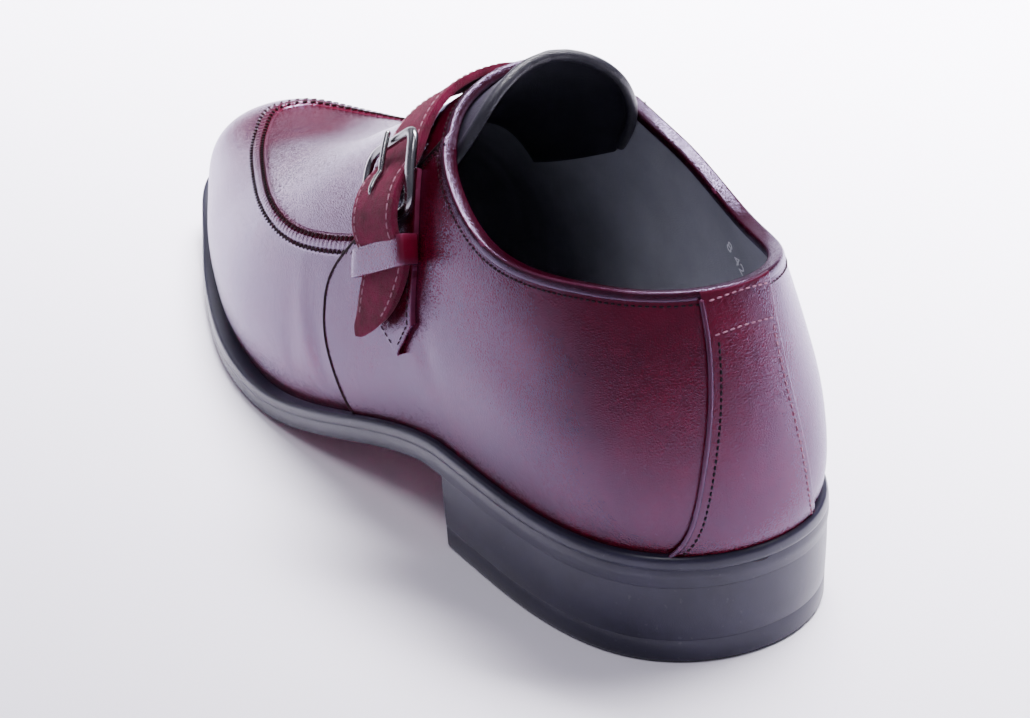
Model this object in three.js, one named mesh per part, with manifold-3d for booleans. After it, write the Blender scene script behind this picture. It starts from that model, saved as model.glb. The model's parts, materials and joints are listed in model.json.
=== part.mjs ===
// A left monk strap shoe with an apron front, in millimetres. +X runs from heel to toe, +Y to the outer
// (lateral) side and +Z up. The shoe stands on its heel and forefoot at Z = 0.
import * as THREE from "three";
import { mergeVertices } from "three/addons/utils/BufferGeometryUtils.js";
import Module from "manifold-3d";

const wasm = await Module();
wasm.setup();

// Driving sizes of the last, which every other piece follows.
const LAST_LENGTH = 296;
const BALL_WIDTH = 94;
const INSTEP_HEIGHT = 128;
const HEEL_HEIGHT = 19.5;
const TOE_SPRING = 11;
const HEEL_END_RADIUS = 32;
const TOE_END_RADIUS = 30;
const HEEL_AXIS_X = 34;
const TOE_AXIS_BACK = 42;

// Thicknesses and clearances.
const WALL = 2.2;
const GAP = 0.3;
const OUTSOLE_THICKNESS = 4.2;
const WELT_THICKNESS = 3;
const TOP_LIFT_THICKNESS = 6;
const INSOLE_RISE = 2.4;
const TONGUE_THICKNESS = 2;
const TAB_THICKNESS = 1.2;

const LATERAL = 1;
const MEDIAL = -1;

// The feather line, where the upper meets the welt. "along" is a share of LAST_LENGTH, and "centre" and
// "half" are shares of BALL_WIDTH. Rounded ends come from the two end radii.
const FEATHER = [
  { along: 0.06, centre: -0.02, half: 0.294 },
  { along: 0.12, centre: -0.018, half: 0.348 },
  { along: 0.2, centre: -0.006, half: 0.361 },
  { along: 0.3, centre: 0.021, half: 0.356 },
  { along: 0.4, centre: 0.047, half: 0.378 },
  { along: 0.5, centre: 0.034, half: 0.428 },
  { along: 0.6, centre: -0.004, half: 0.468 },
  { along: 0.68, centre: -0.045, half: 0.472 },
  { along: 0.75, centre: -0.07, half: 0.44 },
  { along: 0.83, centre: -0.088, half: 0.377 },
  { along: 0.9, centre: -0.1, half: 0.301 },
  { along: 0.96, centre: -0.108, half: 0.226 },
];

// The shape of a rib that climbs from the feather line to the ridge, as control points of one curve.
// "ridge" is the ridge's height over the floor as a share of INSTEP_HEIGHT and "lean" its shift sideways as a
// share of BALL_WIDTH. "lowOut" and "bellyOut" are shares of BALL_WIDTH outside the feather line, "lowRise",
// "bellyRise" and "shoulderRise" shares of the rib's height, "shoulderIn" and "crownIn" shares of its reach.
// "swing" is how much more the shoulder comes in on the medial side and less on the lateral one.
const RIBS = [
  { along: 0.0, ridge: 1.04, lean: -0.01, lowOut: 0.03, lowRise: 0.05, bellyOut: 0.075, bellyRise: 0.3,
    shoulderIn: 0.4, shoulderRise: 0.74, crownIn: 0.6, swing: 0.3 },
  { along: 0.12, ridge: 1.03, lean: -0.01, lowOut: 0.03, lowRise: 0.05, bellyOut: 0.075, bellyRise: 0.3,
    shoulderIn: 0.3, shoulderRise: 0.78, crownIn: 0.55, swing: 0.3 },
  { along: 0.2, ridge: 0.965, lean: -0.005, lowOut: 0.03, lowRise: 0.05, bellyOut: 0.075, bellyRise: 0.32,
    shoulderIn: 0.12, shoulderRise: 0.86, crownIn: 0.43, swing: 0.12 },
  { along: 0.27, ridge: 0.875, lean: 0.0, lowOut: 0.03, lowRise: 0.06, bellyOut: 0.075, bellyRise: 0.34,
    shoulderIn: 0.0, shoulderRise: 0.88, crownIn: 0.36, swing: 0.03 },
  { along: 0.39, ridge: 0.735, lean: -0.01, lowOut: 0.03, lowRise: 0.07, bellyOut: 0.07, bellyRise: 0.38,
    shoulderIn: 0.04, shoulderRise: 0.88, crownIn: 0.44, swing: 0 },
  { along: 0.53, ridge: 0.61, lean: -0.025, lowOut: 0.03, lowRise: 0.08, bellyOut: 0.065, bellyRise: 0.42,
    shoulderIn: 0.13, shoulderRise: 0.87, crownIn: 0.54, swing: 0 },
  { along: 0.66, ridge: 0.495, lean: -0.045, lowOut: 0.03, lowRise: 0.1, bellyOut: 0.065, bellyRise: 0.45,
    shoulderIn: 0.18, shoulderRise: 0.88, crownIn: 0.56, swing: 0 },
  { along: 0.8, ridge: 0.4, lean: -0.065, lowOut: 0.03, lowRise: 0.1, bellyOut: 0.07, bellyRise: 0.5,
    shoulderIn: 0.17, shoulderRise: 0.93, crownIn: 0.55, swing: 0 },
  { along: 0.9, ridge: 0.357, lean: -0.08, lowOut: 0.035, lowRise: 0.1, bellyOut: 0.07, bellyRise: 0.52,
    shoulderIn: 0.16, shoulderRise: 0.96, crownIn: 0.52, swing: 0 },
  { along: 1.0, ridge: 0.342, lean: -0.09, lowOut: 0.035, lowRise: 0.1, bellyOut: 0.07, bellyRise: 0.5,
    shoulderIn: 0.19, shoulderRise: 0.95, crownIn: 0.5, swing: 0 },
];

// The heel under the sole, whose front face is hollowed.
const HEEL_LENGTH = 74;
const BREAST_HOLLOW = 3;

// The outsole's underside is flat over the heel, then comes down through the arch to the floor and rises
// again at the toe. Places along it are shares of LAST_LENGTH.
const ARCH_CLEARANCE = 2.4;
const ARCH_FRONT = 0.58;
const ARCH_FULLNESS = 1.6;
const SPRING_START = 0.74;

// How far the sole stands out beyond the feather line, as a share of BALL_WIDTH.
const LEDGE = [
  { along: 0.0, lateral: 0.034, medial: 0.034 },
  { along: 0.15, lateral: 0.034, medial: 0.03 },
  { along: 0.35, lateral: 0.034, medial: 0.018 },
  { along: 0.5, lateral: 0.044, medial: 0.024 },
  { along: 0.65, lateral: 0.052, medial: 0.046 },
  { along: 0.85, lateral: 0.05, medial: 0.05 },
  { along: 1.0, lateral: 0.055, medial: 0.055 },
];

// The collar's edge seen from the side: "x" is a share of LAST_LENGTH and "z" of INSTEP_HEIGHT.
const TOPLINE = [
  { x: -0.1, lateral: 0.67, medial: 0.67 },
  { x: 0, lateral: 0.67, medial: 0.67 },
  { x: 0.08, lateral: 0.66, medial: 0.645 },
  { x: 0.15, lateral: 0.65, medial: 0.63 },
  { x: 0.2, lateral: 0.668, medial: 0.655 },
  { x: 0.24, lateral: 0.71, medial: 0.695 },
  { x: 0.27, lateral: 0.755, medial: 0.73 },
  { x: 0.3, lateral: 0.815, medial: 0.79 },
  { x: 0.32, lateral: 0.865, medial: 0.85 },
  { x: 0.335, lateral: 0.94, medial: 0.93 },
];

// Where the quarters end in front, where the strip up the back ends at each side and where the raised apron
// seam runs. "station" is a share of the way round from the back of the heel to the tip of the toe.
const QUARTER_FRONT = [
  { rise: 0, station: 0.43 },
  { rise: 0.105, station: 0.434 },
  { rise: 0.21, station: 0.44 },
  { rise: 0.3, station: 0.446 },
  { rise: 0.37, station: 0.4475 },
  { rise: 0.43, station: 0.445 },
  { rise: 0.47, station: 0.4375 },
  { rise: 0.51, station: 0.424 },
  { rise: 0.58, station: 0.397 },
  { rise: 0.64, station: 0.372 },
  { rise: 0.7, station: 0.342 },
  { rise: 0.8, station: 0.3 },
  { rise: 1.0, station: 0.25 },
];
const BACK_STRIP = [
  { rise: 0, station: 0.088 },
  { rise: 0.12, station: 0.069 },
  { rise: 0.25, station: 0.0565 },
  { rise: 0.4, station: 0.0445 },
  { rise: 0.48, station: 0.045 },
  { rise: 0.55, station: 0.052 },
];
const APRON = [
  { station: 0.425, rise: 0.5 },
  { station: 0.47, rise: 0.505 },
  { station: 0.515, rise: 0.521 },
  { station: 0.56, rise: 0.554 },
  { station: 0.62, rise: 0.602 },
  { station: 0.7, rise: 0.66 },
  { station: 0.775, rise: 0.712 },
  { station: 0.87, rise: 0.785 },
  { station: 0.95, rise: 0.82 },
  { station: 1.0, rise: 0.832 },
];
const APRON_HALF_RISE = 0.02;

// Thickness steps of the leather over the vamp, in millimetres.
const QUARTER_STEP = 1;
const STRIP_STEP = 1.9;
const APRON_STEP = 1.1;
const STEP_ROOT = 0.6;

// The strap's middle line from its free tip on the lateral side over the instep to its medial end, where
// "rise" is more than 1. "lift" is the clear height under it as a multiple of STRAP_THICKNESS. "front" and
// "rear" are how far it reaches to each side of that line, as shares of STRAP_WIDTH.
const STRAP_THICKNESS = 1.8;
const STRAP_WIDTH = 21;
const STRAP = [
  { rise: 0.325, station: 0.373, lift: 2.7, front: 0.46, rear: -0.3 },
  { rise: 0.34, station: 0.373, lift: 2.6, front: 0.5, rear: -0.08 },
  { rise: 0.365, station: 0.3725, lift: 2.35, front: 0.5, rear: 0.14 },
  { rise: 0.4, station: 0.372, lift: 2.1, front: 0.5, rear: 0.32 },
  { rise: 0.44, station: 0.372, lift: 1.75, front: 0.5, rear: 0.43 },
  { rise: 0.47, station: 0.373, lift: 1.75, front: 0.5, rear: 0.49 },
  { rise: 0.51, station: 0.376, lift: 2.95, front: 0.5, rear: 0.5 },
  { rise: 0.57, station: 0.379, lift: 3.55, front: 0.5, rear: 0.5 },
  { rise: 0.62, station: 0.383, lift: 2.6, front: 0.5, rear: 0.5 },
  { rise: 0.655, station: 0.3855, lift: 1.45, front: 0.5, rear: 0.5 },
  { rise: 0.7, station: 0.389, lift: 1.0, front: 0.5, rear: 0.5 },
  { rise: 0.8, station: 0.398, lift: 0.88, front: 0.5, rear: 0.5 },
  { rise: 1.0, station: 0.412, lift: 0.86, front: 0.5, rear: 0.5 },
  { rise: 1.3, station: 0.424, lift: 0.86, front: 0.5, rear: 0.5 },
  { rise: 1.54, station: 0.432, lift: 0.86, front: 0.5, rear: 0.5 },
];

// The tab that carries the buckle, from its pointed end upward.
const TAB_WIDTH = 17.6;
const TAB = [
  { rise: 0.285, station: 0.367 },
  { rise: 0.35, station: 0.37 },
  { rise: 0.48, station: 0.3695 },
  { rise: 0.64, station: 0.381 },
];
const TAB_POINT_RISE = 0.07;
const TAB_POINT_SHARE = 0.08;

// The keeper loop over the tab and the strap, the buckle's frame round the strap, and its prong.
const KEEPER = { rise: 0.478, halfRise: 0.026, skew: 0.015, halfWidth: 12.9, wall: 1.3 };
const FRAME = {
  lowRise: 0.535,
  highRise: 0.705,
  skew: 0.018,
  barRise: 0.019,
  halfWidth: 13.4,
  bar: 2.3,
  depth: 1.8,
};
const FRAME_LOW_LIFT = 2.9;
const FRAME_HIGH_LIFT = 4.8;
const PRONG = { lowRise: 0.585, highRise: 0.712, halfWidth: 0.9, depth: 1.4 };

// The tongue under the throat. "start" is where its free edge stands, "side" the share of its half width.
const TONGUE = [
  { side: 0, start: 0.325 },
  { side: 0.5, start: 0.33 },
  { side: 0.85, start: 0.352 },
  { side: 1, start: 0.38 },
];
const TONGUE_END = 0.48;
const TONGUE_SIDE_RISE = 0.6;
const TONGUE_CLEARANCE = 0.5;

// The side profiles of the sole's layers, from the bottom up. "out" is millimetres beyond the ledge and
// "height" a share of the layer's thickness.
const OUTSOLE_EDGE = [
  { out: -1.8, height: 0 },
  { out: -0.4, height: 0.3 },
  { out: 0, height: 0.65 },
  { out: -0.4, height: 1 },
];
const WELT_EDGE = [
  { out: -0.7, height: 0 },
  { out: -0.2, height: 0.6 },
  { out: -0.9, height: 1 },
];
const HEEL_STACK_EDGE = [
  { out: -1, height: 0 },
  { out: -0.4, height: 1 },
];
const TOP_LIFT_EDGE = [
  { out: -1.4, height: 0 },
  { out: -0.9, height: 0.17 },
  { out: -0.9, height: 1 },
];
const STRAIGHT_EDGE = [
  { out: 0, height: 0 },
  { out: 0, height: 1 },
];

// How finely the curved pieces are divided.
const RIB_COUNT = 30;
const ROW_COUNT = 14;
const HEEL_STRIPS = 14;
const PLATE_LANES = 4;
const COLLAR_STEPS = 48;
const COLLAR_HALF_WIDTH = 24;
const QUARTER_COUNTS = { longCount: 18, wideCount: 14 };
const STRIP_COUNTS = { longCount: 6, wideCount: 10 };
const APRON_COUNTS = { longCount: 44, wideCount: 2 };
const TONGUE_COUNTS = { longCount: 12, wideCount: 16 };
const STRAP_COUNTS = { longCount: 46, wideCount: 4 };
const TAB_COUNTS = { longCount: 16, wideCount: 4 };
const KEEPER_COUNTS = { longCount: 4, wideCount: 8 };
const FRAME_COUNTS = { longCount: 12, wideCount: 6 };
const PRONG_COUNTS = { longCount: 8, wideCount: 1 };
const SLOPE_STEP = 1e-4;
const MERGE_DISTANCE = 1e-4;
// How far the quarters run past their ends at the back of the heel and the ridge, so that they join there.
const LAP_RISE = 0.02;

// A natural cubic spline through one column of a table.
function splineOf(rows, key, value) {
  const xs = rows.map((row) => row[key]);
  const ys = rows.map((row) => row[value]);
  return naturalSpline(xs, ys);
}

function naturalSpline(xs, ys) {
  const last = xs.length - 1;
  const bend = new Array(xs.length).fill(0);
  const right = new Array(xs.length).fill(0);
  for (let i = 1; i < last; i++) {
    const share = (xs[i] - xs[i - 1]) / (xs[i + 1] - xs[i - 1]);
    const pivot = share * bend[i - 1] + 2;
    const slopeAfter = (ys[i + 1] - ys[i]) / (xs[i + 1] - xs[i]);
    const slopeBefore = (ys[i] - ys[i - 1]) / (xs[i] - xs[i - 1]);
    bend[i] = (share - 1) / pivot;
    const change = (6 * (slopeAfter - slopeBefore)) / (xs[i + 1] - xs[i - 1]);
    right[i] = (change - share * right[i - 1]) / pivot;
  }
  for (let i = last - 1; i >= 0; i--) bend[i] = bend[i] * bend[i + 1] + right[i];
  return (x) => {
    let i = 0;
    while (i < last - 1 && x > xs[i + 1]) i++;
    const span = xs[i + 1] - xs[i];
    const a = (xs[i + 1] - x) / span;
    const b = 1 - a;
    const curve = ((a * a * a - a) * bend[i] + (b * b * b - b) * bend[i + 1]) * ((span * span) / 6);
    return a * ys[i] + b * ys[i + 1] + curve;
  };
}

const clamp = (t, low, high) => Math.min(high, Math.max(low, t));
const mix = (a, b, t) => a + (b - a) * t;

// The half width is kept as a fullness: the half width over the sine of the turn, which stays finite where
// the outline closes at the heel and the toe.
const endFullness = (radius) => Math.sqrt((radius * LAST_LENGTH) / 2) / BALL_WIDTH;
const sineAlong = (along) => 2 * Math.sqrt(along * (1 - along));
const fullness = naturalSpline(
  [0, ...FEATHER.map((row) => row.along), 1],
  [
    endFullness(HEEL_END_RADIUS),
    ...FEATHER.map((row) => row.half / sineAlong(row.along)),
    endFullness(TOE_END_RADIUS),
  ],
);
const centreLine = splineOf(FEATHER, "along", "centre");
const ribColumn = Object.fromEntries(
  Object.keys(RIBS[0])
    .filter((name) => name !== "along")
    .map((name) => [name, splineOf(RIBS, "along", name)]),
);
const ledgeLateral = splineOf(LEDGE, "along", "lateral");
const ledgeMedial = splineOf(LEDGE, "along", "medial");
const quarterFront = splineOf(QUARTER_FRONT, "rise", "station");
const stripEdge = splineOf(BACK_STRIP, "rise", "station");
const apronRise = splineOf(APRON, "station", "rise");
const strapStation = splineOf(STRAP, "rise", "station");
const strapLiftShare = splineOf(STRAP, "rise", "lift");
const strapFront = splineOf(STRAP, "rise", "front");
const strapRear = splineOf(STRAP, "rise", "rear");
const strapLift = (rise) => STRAP_THICKNESS * strapLiftShare(rise);
const tabStation = splineOf(TAB, "rise", "station");
const tongueStart = splineOf(TONGUE, "side", "start");
const toplineLateral = splineOf(TOPLINE, "x", "lateral");
const toplineMedial = splineOf(TOPLINE, "x", "medial");

// Heights of the sole's layers over the floor at a place along the shoe.
const archBack = (HEEL_LENGTH + ARCH_CLEARANCE) / LAST_LENGTH;
function undersideZ(x) {
  const share = x / LAST_LENGTH;
  const left = 1 - clamp((share - archBack) / (ARCH_FRONT - archBack), 0, 1);
  const spring = Math.max(0, (share - SPRING_START) / (1 - SPRING_START));
  return HEEL_HEIGHT * left * left * (1 + ARCH_FULLNESS * (1 - left)) + TOE_SPRING * spring * spring;
}
const outsoleTopZ = (x) => undersideZ(x) + OUTSOLE_THICKNESS;
const weltTopZ = (x) => outsoleTopZ(x) + GAP + WELT_THICKNESS;
const featherZ = (x) => weltTopZ(x) + GAP;

// A turn of 0 is the back of the heel and a turn of pi is the tip of the toe.
const alongAt = (turn) => (1 - Math.cos(turn)) / 2;
const turnAt = (along) => Math.acos(1 - 2 * along);

function featherPoint(turn, side) {
  const along = alongAt(turn);
  const half = fullness(along) * Math.sin(turn);
  const x = LAST_LENGTH * along;
  return new THREE.Vector3(x, BALL_WIDTH * (centreLine(along) + side * half), featherZ(x));
}

function ridgePoint(along) {
  const x = HEEL_AXIS_X + (LAST_LENGTH - HEEL_AXIS_X - TOE_AXIS_BACK) * along;
  return new THREE.Vector3(x, BALL_WIDTH * ribColumn.lean(along), INSTEP_HEIGHT * ribColumn.ridge(along));
}

// A point of the upper's outer face. "rise" runs from 0 at the feather line to 1 at the ridge, and past 1
// down the other side.
function outerPoint(turn, side, rise) {
  if (rise > 1) return outerPoint(turn, -side, 2 - rise);
  const along = alongAt(turn);
  const foot = featherPoint(turn, side);
  const top = ridgePoint(along);
  const reach = new THREE.Vector2(top.x - foot.x, top.y - foot.y);
  const distance = reach.length();
  reach.normalize();
  const height = top.z - foot.z;
  const insets = [
    0,
    -BALL_WIDTH * ribColumn.lowOut(along),
    -BALL_WIDTH * ribColumn.bellyOut(along),
    distance * (ribColumn.shoulderIn(along) - side * Math.sin(turn) * ribColumn.swing(along)),
    distance * ribColumn.crownIn(along),
    distance,
  ];
  const heights = [
    0,
    height * ribColumn.lowRise(along),
    height * ribColumn.bellyRise(along),
    height * ribColumn.shoulderRise(along),
    height,
    height,
  ];
  const inset = bezier(insets, rise);
  const z = foot.z + bezier(heights, rise);
  return new THREE.Vector3(foot.x + reach.x * inset, foot.y + reach.y * inset, z);
}

function bezier(values, t) {
  let points = values;
  while (points.length > 1) points = points.slice(1).map((value, i) => mix(points[i], value, t));
  return points[0];
}

function outerNormal(turn, side, rise) {
  const before = outerPoint(turn - SLOPE_STEP, side, rise);
  const below = outerPoint(turn, side, Math.max(0, rise - SLOPE_STEP));
  const acrossTurn = outerPoint(turn + SLOPE_STEP, side, rise).sub(before);
  const upRib = outerPoint(turn, side, rise + SLOPE_STEP).sub(below);
  return acrossTurn.cross(upRib).multiplyScalar(-side).normalize();
}

// The outer face moved out along its normal, or in where the offset is negative. At the feather line it
// moves level, so that the wall's bottom edge is flat.
function offsetPoint(turn, side, rise, offset) {
  const normal = outerNormal(turn, side, rise);
  if (rise === 0) normal.setZ(0).normalize();
  return outerPoint(turn, side, rise).addScaledVector(normal, offset);
}

// Collects points and faces of a closed mesh and makes a manifold solid of them.
class MeshBuilder {
  constructor() {
    this.points = [];
    this.faces = [];
  }
  add(point) {
    this.points.push(point.x, point.y, point.z);
    return this.points.length / 3 - 1;
  }
  triangle(a, b, c) {
    this.faces.push(a, b, c);
  }
  quad(a, b, c, d) {
    this.triangle(a, b, c);
    this.triangle(a, c, d);
  }
  solid() {
    const geometry = new THREE.BufferGeometry();
    geometry.setAttribute("position", new THREE.Float32BufferAttribute(this.points, 3));
    geometry.setIndex(this.faces);
    return solidOf(geometry);
  }
}

function solidOf(geometry) {
  const plain = geometry.clone();
  plain.deleteAttribute("normal");
  plain.deleteAttribute("uv");
  const merged = mergeVertices(plain, MERGE_DISTANCE);
  const mesh = new wasm.Mesh({
    numProp: 3,
    vertProperties: new Float32Array(merged.attributes.position.array),
    triVerts: new Uint32Array(merged.index.array),
  });
  const made = new wasm.Manifold(mesh);
  if (made.volume() > 0) return made;
  const turned = new THREE.BufferGeometry().setAttribute("position", merged.attributes.position);
  turned.setIndex(Array.from(merged.index.array).reverse());
  return solidOf(turned);
}

// The whole face of the last at one offset, closed over the top as a last is.
function addLastFace(builder, offset, inward) {
  const ribs = [];
  for (let k = 0; k < 2 * RIB_COUNT; k++) {
    const side = k <= RIB_COUNT ? LATERAL : MEDIAL;
    const turn = (Math.PI * (k <= RIB_COUNT ? k : 2 * RIB_COUNT - k)) / RIB_COUNT;
    const column = [];
    for (let j = 0; j <= ROW_COUNT; j++) {
      column.push(builder.add(offsetPoint(turn, side, j / (ROW_COUNT + 1), offset)));
    }
    ribs.push(column);
  }
  const ridge = [null];
  for (let k = 1; k < RIB_COUNT; k++) {
    ridge.push(builder.add(offsetPoint((Math.PI * k) / RIB_COUNT, LATERAL, 1, offset)));
  }
  const face = (a, b, c, d) => (inward ? builder.quad(a, b, c, d) : builder.quad(d, c, b, a));
  const count = ribs.length;
  for (let k = 0; k < count; k++) {
    const here = ribs[k];
    const next = ribs[(k + 1) % count];
    for (let j = 0; j < ROW_COUNT; j++) face(here[j], next[j], next[j + 1], here[j + 1]);
  }
  for (let k = 1; k < RIB_COUNT - 1; k++) {
    face(ribs[k][ROW_COUNT], ribs[k + 1][ROW_COUNT], ridge[k + 1], ridge[k]);
    face(ridge[k], ridge[k + 1], ribs[count - k - 1][ROW_COUNT], ribs[count - k][ROW_COUNT]);
  }
  const heelTop = ribs[0][ROW_COUNT];
  const toeTop = ribs[RIB_COUNT][ROW_COUNT];
  face(heelTop, ribs[1][ROW_COUNT], ridge[1], ribs[count - 1][ROW_COUNT]);
  face(ribs[RIB_COUNT - 1][ROW_COUNT], toeTop, ribs[RIB_COUNT + 1][ROW_COUNT], ridge[RIB_COUNT - 1]);
  return ribs.map((column) => column[0]);
}

function lastShell(outerOffset, innerOffset) {
  const builder = new MeshBuilder();
  const outside = addLastFace(builder, outerOffset, false);
  const inside = addLastFace(builder, innerOffset, true);
  outside.forEach((point, k) => {
    const next = (k + 1) % outside.length;
    builder.quad(point, outside[next], inside[next], inside[k]);
  });
  return builder.solid();
}

// Everything above the collar's edge. The edge has its own height on each side and runs straight between
// them over the middle of the shoe.
function collarCutter() {
  const builder = new MeshBuilder();
  const roof = 2 * INSTEP_HEIGHT;
  const first = TOPLINE[0].x;
  const last = TOPLINE[TOPLINE.length - 1].x;
  const places = [BALL_WIDTH, COLLAR_HALF_WIDTH, -COLLAR_HALF_WIDTH, -BALL_WIDTH];
  const rows = [];
  for (let i = 0; i <= COLLAR_STEPS; i++) {
    const share = mix(first, last, i / COLLAR_STEPS);
    const x = share * LAST_LENGTH;
    const heights = places.map((y) => INSTEP_HEIGHT * (y > 0 ? toplineLateral(share) : toplineMedial(share)));
    rows.push({
      low: places.map((y, j) => builder.add(new THREE.Vector3(x, y, heights[j]))),
      high: places.map((y) => builder.add(new THREE.Vector3(x, y, roof))),
    });
  }
  const lanes = places.length - 1;
  for (let i = 0; i < COLLAR_STEPS; i++) {
    const here = rows[i];
    const next = rows[i + 1];
    for (let j = 0; j < lanes; j++) {
      builder.quad(here.low[j], here.low[j + 1], next.low[j + 1], next.low[j]);
      builder.quad(next.high[j], next.high[j + 1], here.high[j + 1], here.high[j]);
    }
    builder.quad(here.low[0], next.low[0], next.high[0], here.high[0]);
    builder.quad(here.high[lanes], next.high[lanes], next.low[lanes], here.low[lanes]);
  }
  const back = rows[0];
  const front = rows[COLLAR_STEPS];
  for (let j = 0; j < lanes; j++) {
    builder.quad(back.high[j], back.high[j + 1], back.low[j + 1], back.low[j]);
    builder.quad(front.low[j], front.low[j + 1], front.high[j + 1], front.high[j]);
  }
  return builder.solid();
}

// A closed sheet over the last. "place" gives a turn and a rise for two shares, and "under" and "over" give
// how far its two faces stand off the upper's outer face there.
function sheetSolid(place, under, over, { longCount, wideCount }) {
  const builder = new MeshBuilder();
  const layer = (height) => {
    const rows = [];
    for (let i = 0; i <= longCount; i++) {
      const row = [];
      for (let j = 0; j <= wideCount; j++) {
        const { turn, rise } = place(i / longCount, j / wideCount);
        row.push(builder.add(offsetPoint(turn, LATERAL, rise, height(rise))));
      }
      rows.push(row);
    }
    return rows;
  };
  const low = layer(under);
  const high = layer(over);
  for (let i = 0; i < longCount; i++) {
    for (let j = 0; j < wideCount; j++) {
      builder.quad(low[i][j], low[i][j + 1], low[i + 1][j + 1], low[i + 1][j]);
      builder.quad(high[i][j], high[i + 1][j], high[i + 1][j + 1], high[i][j + 1]);
    }
    builder.quad(low[i][0], low[i + 1][0], high[i + 1][0], high[i][0]);
    builder.quad(low[i + 1][wideCount], low[i][wideCount], high[i][wideCount], high[i + 1][wideCount]);
  }
  for (let j = 0; j < wideCount; j++) {
    builder.quad(low[0][j], high[0][j], high[0][j + 1], low[0][j + 1]);
    builder.quad(low[longCount][j + 1], high[longCount][j + 1], high[longCount][j], low[longCount][j]);
  }
  return builder.solid();
}

// A sheet that runs up a middle line. "front" and "rear" are how far it reaches to each side of that line, in
// millimetres at each rise, and "skew" is how far its front side lies below the line and its rear side above.
function bandSolid({ station, lowRise, highRise, front, rear, under, over, counts, skew = 0 }) {
  const place = (u, v) => {
    const rise = mix(lowRise, highRise, u);
    const turn = Math.PI * station(rise) + mix(-rear(rise), front(rise), v) / turnLength(rise);
    return { turn, rise: rise - skew * (2 * v - 1) };
  };
  return sheetSolid(place, under, over, counts);
}

// Millimetres along the foot for one radian of turn, near the instep.
function turnLength(rise) {
  const turn = Math.PI * strapStation(rise);
  const before = outerPoint(turn - SLOPE_STEP, LATERAL, rise);
  return outerPoint(turn + SLOPE_STEP, LATERAL, rise).distanceTo(before) / (2 * SLOPE_STEP);
}

function quarterSolid(side) {
  const place = (u, v) => {
    const rise = v * (1 + LAP_RISE);
    return { turn: side * Math.PI * mix(-LAP_RISE, quarterFront(Math.min(rise, 1)), u), rise };
  };
  return sheetSolid(place, () => -STEP_ROOT, () => QUARTER_STEP, QUARTER_COUNTS);
}

function backStripSolid() {
  const topRise = BACK_STRIP[BACK_STRIP.length - 1].rise;
  const place = (u, v) => {
    const rise = v * topRise;
    return { turn: Math.PI * stripEdge(rise) * (2 * u - 1), rise };
  };
  return sheetSolid(place, () => -STEP_ROOT, () => STRIP_STEP, STRIP_COUNTS);
}

function apronSeamSolid() {
  const first = APRON[0].station;
  const place = (u, v) => {
    const station = mix(first, 2 - first, u);
    const mirrored = Math.min(station, 2 - station);
    return { turn: Math.PI * station, rise: apronRise(mirrored) + APRON_HALF_RISE * (2 * v - 1) };
  };
  return sheetSolid(place, () => -STEP_ROOT, () => APRON_STEP, APRON_COUNTS);
}

function upperSolid() {
  return lastShell(0, -WALL)
    .add(quarterSolid(LATERAL))
    .add(quarterSolid(MEDIAL))
    .add(backStripSolid())
    .add(apronSeamSolid())
    .subtract(collarCutter());
}

function tongueSolid() {
  const outer = -WALL - TONGUE_CLEARANCE;
  const place = (u, v) => {
    const side = 2 * v - 1;
    const turn = Math.PI * mix(tongueStart(Math.abs(side)), TONGUE_END, u);
    return { turn, rise: 1 + side * (1 - TONGUE_SIDE_RISE) };
  };
  return sheetSolid(place, () => outer - TONGUE_THICKNESS, () => outer, TONGUE_COUNTS);
}

function strapSolid() {
  return bandSolid({
    station: strapStation,
    lowRise: STRAP[0].rise,
    highRise: STRAP[STRAP.length - 1].rise,
    front: (rise) => STRAP_WIDTH * strapFront(rise),
    rear: (rise) => STRAP_WIDTH * strapRear(rise),
    under: strapLift,
    over: (rise) => strapLift(rise) + STRAP_THICKNESS,
    counts: STRAP_COUNTS,
  });
}

function tabSolid() {
  const lowRise = TAB[0].rise;
  const reach = (rise) => (TAB_WIDTH / 2) * clamp((rise - lowRise) / TAB_POINT_RISE, TAB_POINT_SHARE, 1);
  return bandSolid({
    station: tabStation,
    lowRise,
    highRise: TAB[TAB.length - 1].rise,
    front: reach,
    rear: reach,
    under: () => QUARTER_STEP + GAP,
    over: () => QUARTER_STEP + GAP + TAB_THICKNESS,
    counts: TAB_COUNTS,
  });
}

function keeperSolid() {
  const { rise, halfRise, skew, halfWidth, wall } = KEEPER;
  const strapTop = (place) => strapLift(place) + STRAP_THICKNESS + GAP;
  const block = bandSolid({
    station: strapStation,
    lowRise: rise - halfRise,
    highRise: rise + halfRise,
    skew,
    front: () => halfWidth,
    rear: () => halfWidth,
    under: () => QUARTER_STEP + GAP,
    over: (place) => strapTop(place) + wall,
    counts: KEEPER_COUNTS,
  });
  const opening = bandSolid({
    station: strapStation,
    lowRise: rise - 2 * halfRise,
    highRise: rise + 2 * halfRise,
    skew,
    front: () => halfWidth - wall,
    rear: () => halfWidth - wall,
    under: () => 0,
    over: strapTop,
    counts: KEEPER_COUNTS,
  });
  return block.subtract(opening);
}

function frameLift(rise) {
  return mix(FRAME_LOW_LIFT, FRAME_HIGH_LIFT, (rise - FRAME.lowRise) / (FRAME.highRise - FRAME.lowRise));
}

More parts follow.
